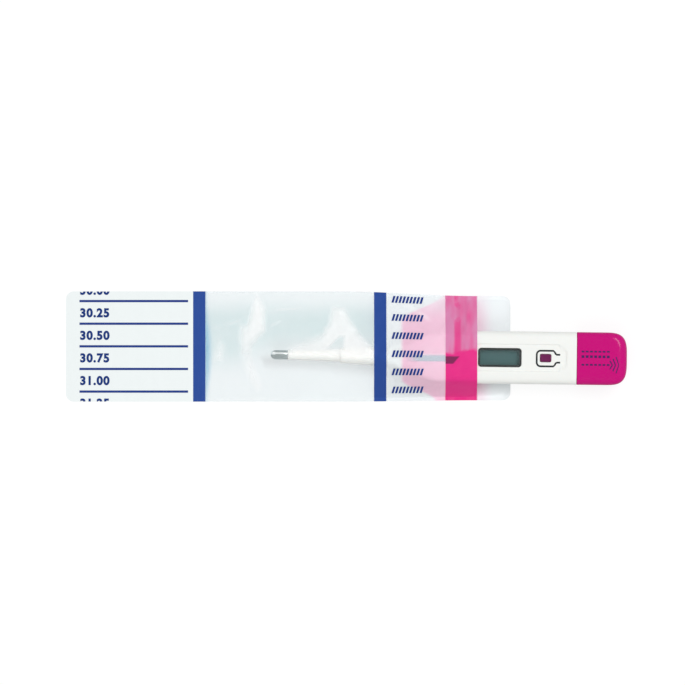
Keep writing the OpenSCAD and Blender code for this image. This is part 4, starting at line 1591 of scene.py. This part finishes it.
@dataclass
class Sheath:
    """The two films of the sheath, in coordinates along and across it laid flat, turned a little on the pen."""

    pen: Pen
    length: float = 158.7
    width: float = 39.4
    corner: float = 2.8
    film: float = 0.2
    reach: float = 85.5
    lip: float = 12.0
    record: float = 50.0
    margin: float = 1.5
    lift: float = 3.2
    fall: float = 2.6
    far_draw: float = 1.7
    near_draw: float = 0.5
    offset: float = 3.0
    skew: float = math.radians(0.7)
    shift: float = 0.3549
    flat_half: float = 7.05
    gap: float = 0.25
    rest: float = 0.3
    passes: int = 2600

    @property
    def middle(self) -> float:
        """Station of the sheath's middle."""
        return self.reach - self.length / 2

    @property
    def mouth(self) -> float:
        """Station where the front film ends."""
        return self.reach - self.lip

    def placed(self, u: np.ndarray, v: np.ndarray, z: np.ndarray) -> np.ndarray:
        """Puts places on the flat sheath into the shared frame.

        Args:
            u: Places along, from the sheath's middle.
            v: Places across, from its middle.
            z: Heights of the shared frame.

        Returns:
            Points in millimetres of the shared frame.
        """
        u, v, z = np.broadcast_arrays(u, v, z)
        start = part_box("sensor_tip")[0].x / MM + self.middle
        return np.stack([start + u * math.cos(self.skew) - v * math.sin(self.skew),
                         u * math.sin(self.skew) + v * math.cos(self.skew) + self.shift, z], -1)

    def flat(self, u: np.ndarray, t: np.ndarray) -> tuple[np.ndarray, np.ndarray]:
        """Places along from the closed end and up from the near edge."""
        return u + self.length / 2, t * self.width

    def off_axis(self, u: np.ndarray) -> np.ndarray:
        """How far the sheath's middle line lies from the thermometer's axis."""
        return self.offset + u * math.tan(self.skew)

    def share(self, station: np.ndarray) -> np.ndarray:
        """How far the mouth is spread by the body at a station."""
        return smooth((station - self.pen.shoulder) / (self.mouth - self.pen.shoulder))

    def edges(self, u: np.ndarray) -> tuple[np.ndarray, np.ndarray]:
        """Edges of the films: straight, drawn in towards the mouth, with round corners at the ends.

        Args:
            u: Places along.

        Returns:
            Near and far edge, as places across.
        """
        into = np.clip(self.corner - self.length / 2 + np.abs(u), 0, self.corner)
        inset = self.corner - np.sqrt(self.corner ** 2 - into ** 2)
        spread = self.share(self.middle + u)
        return (inset + self.near_draw * spread - self.width / 2, self.width / 2 - inset - self.far_draw * spread)

    def seam(self, u: np.ndarray) -> np.ndarray:
        """Height of the sealed edges: they rise towards the mouth and fall again along the lip."""
        station = self.middle + u
        return self.lift * self.share(station) - self.fall * smooth((station - self.mouth) / self.lip)

    def grid(self, end: float, step: float, columns: int) -> tuple[np.ndarray, np.ndarray, np.ndarray]:
        """Lays a grid over a film, its rows close together round the corners.

        Args:
            end: Place along where the film ends.
            step: Distance between rows.
            columns: Points in a row.

        Returns:
            Places along and across and the share across, as rows by columns.
        """
        bend = self.corner * (1 - np.cos(np.linspace(0, math.pi / 2, 9))) - self.length / 2
        straight = np.arange(bend[-1] + step, min(end, self.length / 2 - self.corner), step)
        tail = -bend[::-1] if end >= self.length / 2 else np.array([end])
        u = np.concatenate([bend, straight, tail])[:, None]
        t = np.linspace(0, 1, columns)[None, :]
        near, far = self.edges(u)
        return np.broadcast_to(u, (len(u), columns)), near + (far - near) * t, np.broadcast_to(t, (len(u), columns))

    def back_height(self, u: np.ndarray, v: np.ndarray) -> np.ndarray:
        """Underside of the back film: flat under the body, and curved up to the seams on both sides of it.

        Args:
            u: Places along.
            v: Places across.

        Returns:
            Heights of the shared frame.
        """
        near, far = self.edges(u)
        away = self.off_axis(u)
        off = v + away
        room = np.where(off > 0, far + away, -(near + away))
        t = np.clip((np.abs(off) - self.flat_half) / (room - self.margin - self.flat_half), 0, 1)
        return self.seam(u) * (0.35 * t * t + 0.65 * t)

    def pen_top(self, u: np.ndarray, v: np.ndarray) -> np.ndarray:
        """Top of the thermometer under the film.

        Args:
            u: Places along.
            v: Places across.

        Returns:
            Heights of the shared frame, far below where there is no thermometer.
        """
        pen, station = self.pen, self.middle + u
        half, low, high, square = pen.sections(np.maximum(station, pen.tip_end))
        nose = np.sqrt(np.clip(1 - np.clip(1 - station / pen.tip_nose, 0, 1) ** 2, 0, 1))
        on_tip = station < pen.tip_end
        half = np.where(on_tip, pen.tip_d / 2 * np.maximum(nose, 0.05), half)
        low, high = np.where(on_tip, pen.axis - half, low), np.where(on_tip, pen.axis + half, high)
        inside = 1 - np.abs((v + self.off_axis(u)) / (half + 0.01)) ** square
        top = (low + high) / 2 + (high - low) / 2 * np.clip(inside, 0, None) ** (1 / square)
        return np.where((inside > 0) & (station >= 0), top + self.rest, -10.0)

    def stretch(self, u: np.ndarray, v: np.ndarray) -> np.ndarray:
        """Stretches the front film over the thermometer like a skin under even tension.

        Each point is brought to the weighted mean of its four neighbours, and is then lifted off the thermometer
        and the back film, over and over until the skin is at rest. The seams and the record panel are held, and
        the edge at the mouth is free.

        Args:
            u: Places along.
            v: Places across.

        Returns:
            Heights of the film's underside.
        """
        floor = np.maximum(self.pen_top(u, v) + self.gap, self.back_height(u, v) + self.film)
        seam = np.broadcast_to(self.seam(u) + self.film, u.shape)
        near, far = self.edges(u)
        pocket = self.reach - self.length + self.record - self.middle
        held = (u <= pocket) | (v < near + self.margin) | (v > far - self.margin)
        z = np.maximum(floor, seam)
        before, after = np.diff(u[:, 0])[:-1, None], np.diff(u[:, 0])[1:, None]
        side = np.diff(v[1:-1], axis=1)[:, :1]
        back, ahead, beside = 2 / (before * (before + after)), 2 / (after * (before + after)), 1 / side ** 2
        for _ in range(self.passes):
            mean = (back * z[:-2, 1:-1] + ahead * z[2:, 1:-1] + beside * (z[1:-1, :-2] + z[1:-1, 2:])) / (
                back + ahead + 2 * beside)
            z[1:-1, 1:-1] = np.where(held[1:-1, 1:-1], seam[1:-1, 1:-1], np.maximum(mean, floor[1:-1, 1:-1]))
            z[-1] = np.where(held[-1], seam[-1], np.maximum(z[-2], floor[-1]))
        return z

    def crumple(self, u: np.ndarray, v: np.ndarray, t: np.ndarray, z: np.ndarray) -> np.ndarray:
        """Adds the folds and a slight waviness, which die out at the seams and over the record panel.

        Args:
            u: Places along.
            v: Places across.
            t: Shares across.
            z: Heights of the smooth film's underside.

        Returns:
            Heights of the crumpled film's underside.
        """
        along, up = self.flat(u, t)
        wave = 0.1 * np.sin(along * 0.55 + up * 0.31) * np.sin(up * 0.42 - along * 0.12) + 0.06 * np.sin(
            along * 0.9 - up * 0.75)
        folds = sum(fold.lift(along, up) for fold in FOLDS)
        folds = folds + sum(facet.height * facet.share(along, up) for facet in FACETS)
        loose = smooth((along - self.record) / 4) * smooth(up / 3) * smooth((self.width - up) / 3)
        raised = z + (wave + folds) * loose
        floor = np.maximum(self.pen_top(u, v) + self.gap * 0.6, self.back_height(u, v) + self.film)
        return np.maximum(raised, floor)

    def milk_and_reflection(self, u: np.ndarray, t: np.ndarray) -> np.ndarray:
        """How milky the front film is, with painted reflections: a little along each fold, with each facet's painted
        white laid over those before it.

        Args:
            u: Places along.
            t: Shares across.

        Returns:
            Shares, 0 to 1.
        """
        along, up = self.flat(u, t)
        whitened = np.max([0.4 * np.abs(fold.lift(along, up)) for fold in FOLDS], axis=0)
        for facet in FACETS:
            whitened = between(whitened, facet.milk_and_reflection, facet.share(along, up))
        return whitened * smooth((along - self.record) / 2)

    def skin(self, u: np.ndarray, v: np.ndarray, t: np.ndarray, z: np.ndarray, milk_and_reflection: np.ndarray) -> Skin:
        """Gives a film its thickness.

        Args:
            u: Places along.
            v: Places across.
            t: Shares across.
            z: Heights of its underside.
            milk_and_reflection: How milky it is, painted reflections included.

        Returns:
            The closed film; its flat coordinates are shares of the sheath's length.
        """
        flat = np.stack(self.flat(u, t), -1) / self.length
        return Skin.of_sheet(self.placed(u, v, z), self.placed(u, v, z + self.film), flat, milk_and_reflection)

    def build_back(self, finish: bpy.types.Material) -> bpy.types.Object:
        """Makes the back film, with the lip that stands out of the mouth. Light passes it without a shadow.

        Args:
            finish: The material.

        Returns:
            The back film.
        """
        u, v, t = self.grid(self.length / 2, 0.75, 96)
        skin = self.skin(u, v, t, self.back_height(u, v), 0 * u)
        made = make_piece("back_film", skin, Rider.SHEATH, finish, ["sheath_back_film"], 60)
        made.visible_shadow = False
        return (made, self.width * MM)[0]

    def build_front(self, finish: bpy.types.Material) -> bpy.types.Object:
        """Makes the front film, stretched over the thermometer and crumpled. Light passes it without a shadow.

        Args:
            finish: The material.

        Returns:
            The front film.
        """
        u, v, t = self.grid(self.mouth - self.middle, 0.6, 120)
        skin = self.skin(u, v, t, self.crumple(u, v, t, self.stretch(u, v)), self.milk_and_reflection(u, t))
        made = make_piece("front_film", skin, Rider.SHEATH, finish, ["sheath_front_film"], 60)
        made.visible_shadow = False
        return (made, self.width * MM)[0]

    def print_numbers(self, ink: bpy.types.Material) -> bpy.types.Object:
        """Prints plain numbers between the record panel's lines, cut off where they pass its edges.

        Args:
            ink: The print's material.

        Returns:
            The numbers.
        """
        mesh = NumberPrint().mesh((self.length, self.width), 2 * self.film)
        move_points(mesh, lambda place: self.placed(*place.T) * MM)
        return make_piece("record_numbers", mesh, Rider.SHEATH, ink)


@dataclass
class Electronics:
    """What sits on the carriage and in the probe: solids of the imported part, each with its own finish."""

    rounded: tuple[str, ...] = ("carriage", "battery", "lcd_frame", "button_switch", "circuit_board",
                                "passive_components")
    softened: float = 0.08
    sharp: float = 40.0
    welded: float = 0.002

    def finishes(self) -> dict[str, Moulded | Metal | Board | Display]:
        """The finish of each solid that is shown as it is.

        Returns:
            Finishes by the solids' names.
        """
        nickel = Metal("contact_strip", srgb(205, 200, 188), 0.3, (0.1, 1, 1))
        return {
            "lens_gasket": Moulded("black_frame", srgb(34, 37, 38), 0.6, 0.08),
            "button_seal": Moulded("grey_seal", srgb(96, 98, 100), 0.7, 0.06),
            "cap_seal_ring": Moulded("seal_ring", srgb(60, 62, 64), 0.6, 0.08),
            "thermistor": Moulded("glass_bead", srgb(140, 84, 48), 0.15, 0.12),
            "tip_potting": Moulded("potting_resin", srgb(58, 66, 66), 0.35, 0.15),
            "carriage": Moulded("carrier", srgb(214, 217, 216), 0.5, 0.04),
            "circuit_board": Board(),
            "controller_chip": Moulded("chip_resin", srgb(24, 24, 26), 0.3, 0.25, 0.00004, 1500),
            "passive_components": Moulded("chip_ceramic", srgb(150, 118, 84), 0.45, 0.2),
            "button_switch": Moulded("switch_case", srgb(52, 54, 58), 0.5, 0.1),
            "lcd_glass": Display(),
            "lcd_reflector": Metal("reflector", srgb(198, 202, 204), 0.4),
            "lcd_frame": Moulded("display_frame", srgb(222, 224, 222), 0.5, 0.04),
            "zebra_strips": Moulded("zebra_rubber", srgb(120, 122, 124), 0.65, 0.3, 0.00002, 4000),
            "buzzer_disc": Metal("buzzer_brass", srgb(196, 164, 92), 0.28),
            "buzzer_contacts": Metal("buzzer_pin", srgb(206, 176, 108), 0.3),
            "battery": Metal("cell_can", srgb(200, 202, 204), 0.22, (1, 1, 0.08)),
            "battery_contact_positive": nickel,
            "battery_contact_negative": nickel,
        }

    def dress(self) -> None:
        """Gives each solid its finish, and a small round to the edges of the larger ones."""
        made: dict[str, bpy.types.Material] = {}
        for name, finish in self.finishes().items():
            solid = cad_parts[name]
            if finish.name not in made:
                made[finish.name] = finish.build()
            solid.data.materials.clear()
            solid.data.materials.append(made[finish.name])
            if name in self.rounded:
                weld = solid.modifiers.new("weld", "WELD")
                weld.merge_threshold = self.welded * MM
                edge = solid.modifiers.new("edge", "BEVEL")
                edge.width, edge.segments, edge.limit_method = self.softened * MM, 2, "ANGLE"
                edge.angle_limit = math.radians(self.sharp)
            log.info("%s: kept as packed, finish %s", name, finish.name)


@dataclass(frozen=True)
class Lamp:
    """A soft box that faces the object: its place and size in metres, and its power in watts."""

    name: str
    place: tuple[float, float, float]
    size: Span
    power: float
    mirrored: bool = True

    def hang(self) -> None:
        """Hangs the lamp; glossy surfaces mirror it or not."""
        light = bpy.data.lights.new(self.name, "AREA")
        light.shape, light.energy = "RECTANGLE", self.power
        light.size, light.size_y = self.size
        made = bpy.data.objects.new(self.name, light)
        made.location = self.place
        made.visible_glossy = self.mirrored
        made.rotation_euler = (-Vector(self.place)).to_track_quat("-Z", "Y").to_euler()
        bpy.context.collection.objects.link(made)


@dataclass
class Studio:
    """The pale floor, the soft light from beyond the cap's far corner and the camera straight above."""

    view_width: float = 244.3
    lens: float = 500.0
    sensor: float = 36.0
    camera_lift: float = 5.0
    centre: Span = (-1.27, 2.02)
    roll: float = 0.7
    sky: float = 0.57
    floor_half: float = 4.0
    floor_drop: float = 0.04
    floor_colour: Colour = (0.2, 0.2, 0.2)
    floor_glow: float = 0.28
    floor_seen: float = 0.55
    lamps: tuple[Lamp, ...] = (Lamp("far_box", (1.1, 0.8, 1.9), (1.4, 0.385), 20.5),
                               Lamp("near_box", (0.0, -0.6, 0.9), (0.9, 0.5), 1.6, False))

    def floor(self) -> bpy.types.Object:
        """Lays the floor: it shows white to the camera and keeps the shadows that fall on it.

        Returns:
            The floor.
        """
        shader = Shader("pale_floor")
        matt = shader.node("ShaderNodeBsdfDiffuse", inputs={"Color": self.floor_colour})
        strength = shader.seen() * self.floor_seen + self.floor_glow
        glow = shader.node("ShaderNodeEmission", inputs={"Color": WHITE, "Strength": strength})
        made = bpy.data.meshes.new("floor")
        corners = ((-1, -1), (1, -1), (1, 1), (-1, 1))
        made.from_pydata([(x * self.floor_half, y * self.floor_half, -self.floor_drop * MM) for x, y in corners], [],
                         [(0, 1, 2, 3)])
        made.materials.append(shader.finish(shader.node("ShaderNodeAddShader", inputs={0: matt, 1: glow})))
        ground = bpy.data.objects.new("floor", made)
        bpy.context.collection.objects.link(ground)
        return ground

    def light(self) -> None:
        """Sets the sky's even light, white behind the object, and hangs the lamps."""
        world = Shader("studio", world=True)
        strength = world.seen() * (1 - self.sky) + self.sky
        sky = world.node("ShaderNodeBackground", inputs={"Color": WHITE, "Strength": strength})
        bpy.context.scene.world = world.finish(sky)
        for lamp in self.lamps:
            lamp.hang()

    def camera(self) -> None:
        """Hangs the camera over the object, turned so that the sheath lies level in the picture."""
        lens = bpy.data.cameras.new("camera")
        lens.lens, lens.sensor_width, lens.clip_start = self.lens, self.sensor, 0.01
        made = bpy.data.objects.new("camera", lens)
        height = self.view_width * self.lens / self.sensor + self.camera_lift
        made.location = (self.centre[0] * MM, self.centre[1] * MM, height * MM)
        made.rotation_euler = (0, 0, math.radians(self.roll))
        bpy.context.collection.objects.link(made)
        bpy.context.scene.camera = made
        bpy.context.scene.view_settings.view_transform = "Standard"


def main() -> None:
    """Builds the thermometer, its sheath and the studio."""
    logging.basicConfig(level=logging.INFO, format="%(name)s: %(message)s")
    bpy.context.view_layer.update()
    pen = Pen()
    housing, cap, sheath, studio = Housing(pen), BatteryCap(pen), Sheath(pen), Studio()
    white = Moulded("white_plastic", srgb(248, 250, 246), roughness=0.38, clouding=0.012, grain=0.000006,
                    grain_scale=7000, gloss=0.3, depth=0.12)
    purple = Moulded("purple_plastic", srgb(108, 30, 82), roughness=0.42, clouding=0.05, gloss=0.15)
    magenta = Moulded("magenta_plastic", srgb(203, 0, 121), roughness=0.4, clouding=0.03, grain=0.000005,
                      grain_scale=7000, gloss=0.0, coat=0.3)
    # The tip's painted highlight: a bright line along its upper side, wider at the nose.
    painted_tip_highlight = PaintedHighlightLine(across=-0.00205, half=0.00026, nose=-0.0252, nose_half=0.0005, colour=srgb(236, 241, 241))
    steel = Metal("tip_steel", srgb(156, 167, 167), roughness=0.15, marks=(1, 0.1, 0.1), mark_depth=0.000001,
                  tarnish=0.12, uneven=0.06, painted_highlight=painted_tip_highlight)
    lacquer = Metal("lead_lacquer", srgb(190, 104, 58), roughness=0.35, marks=(0.05, 1, 1))
    housing.build(Polar.for_body(pen, housing.panel_half, 17), white.build())
    housing.print_button_sign(Ink("black_print", srgb(34, 38, 40), srgb(96, 98, 98)).build())
    housing.print_stripe(Ink("grey_print", srgb(178, 196, 208), srgb(200, 212, 220)).build())
    Window(pen).build(ClearLens().build())
    Button(pen).build(purple.build())
    SensorTip(pen).build(steel.build())
    SensorLeads(pen).build(lacquer.build())
    cap.build(Polar.for_body(pen, housing.panel_half, 41), magenta.build())
    cap.print_marks(Ink("plum_print", srgb(70, 24, 92), srgb(120, 20, 100)).build())
    Electronics().dress()
    sheath.build_back(Film("back_film", sheath.length, sheath.width, False).build())
    sheath.build_front(Film("front_film", sheath.length, sheath.width, True).build())
    sheath.print_numbers(Ink("navy_print", srgb(8, 48, 120), srgb(40, 80, 146)).build())
    studio.floor()
    studio.light()
    studio.camera()


if __name__ == "__main__":
    main()
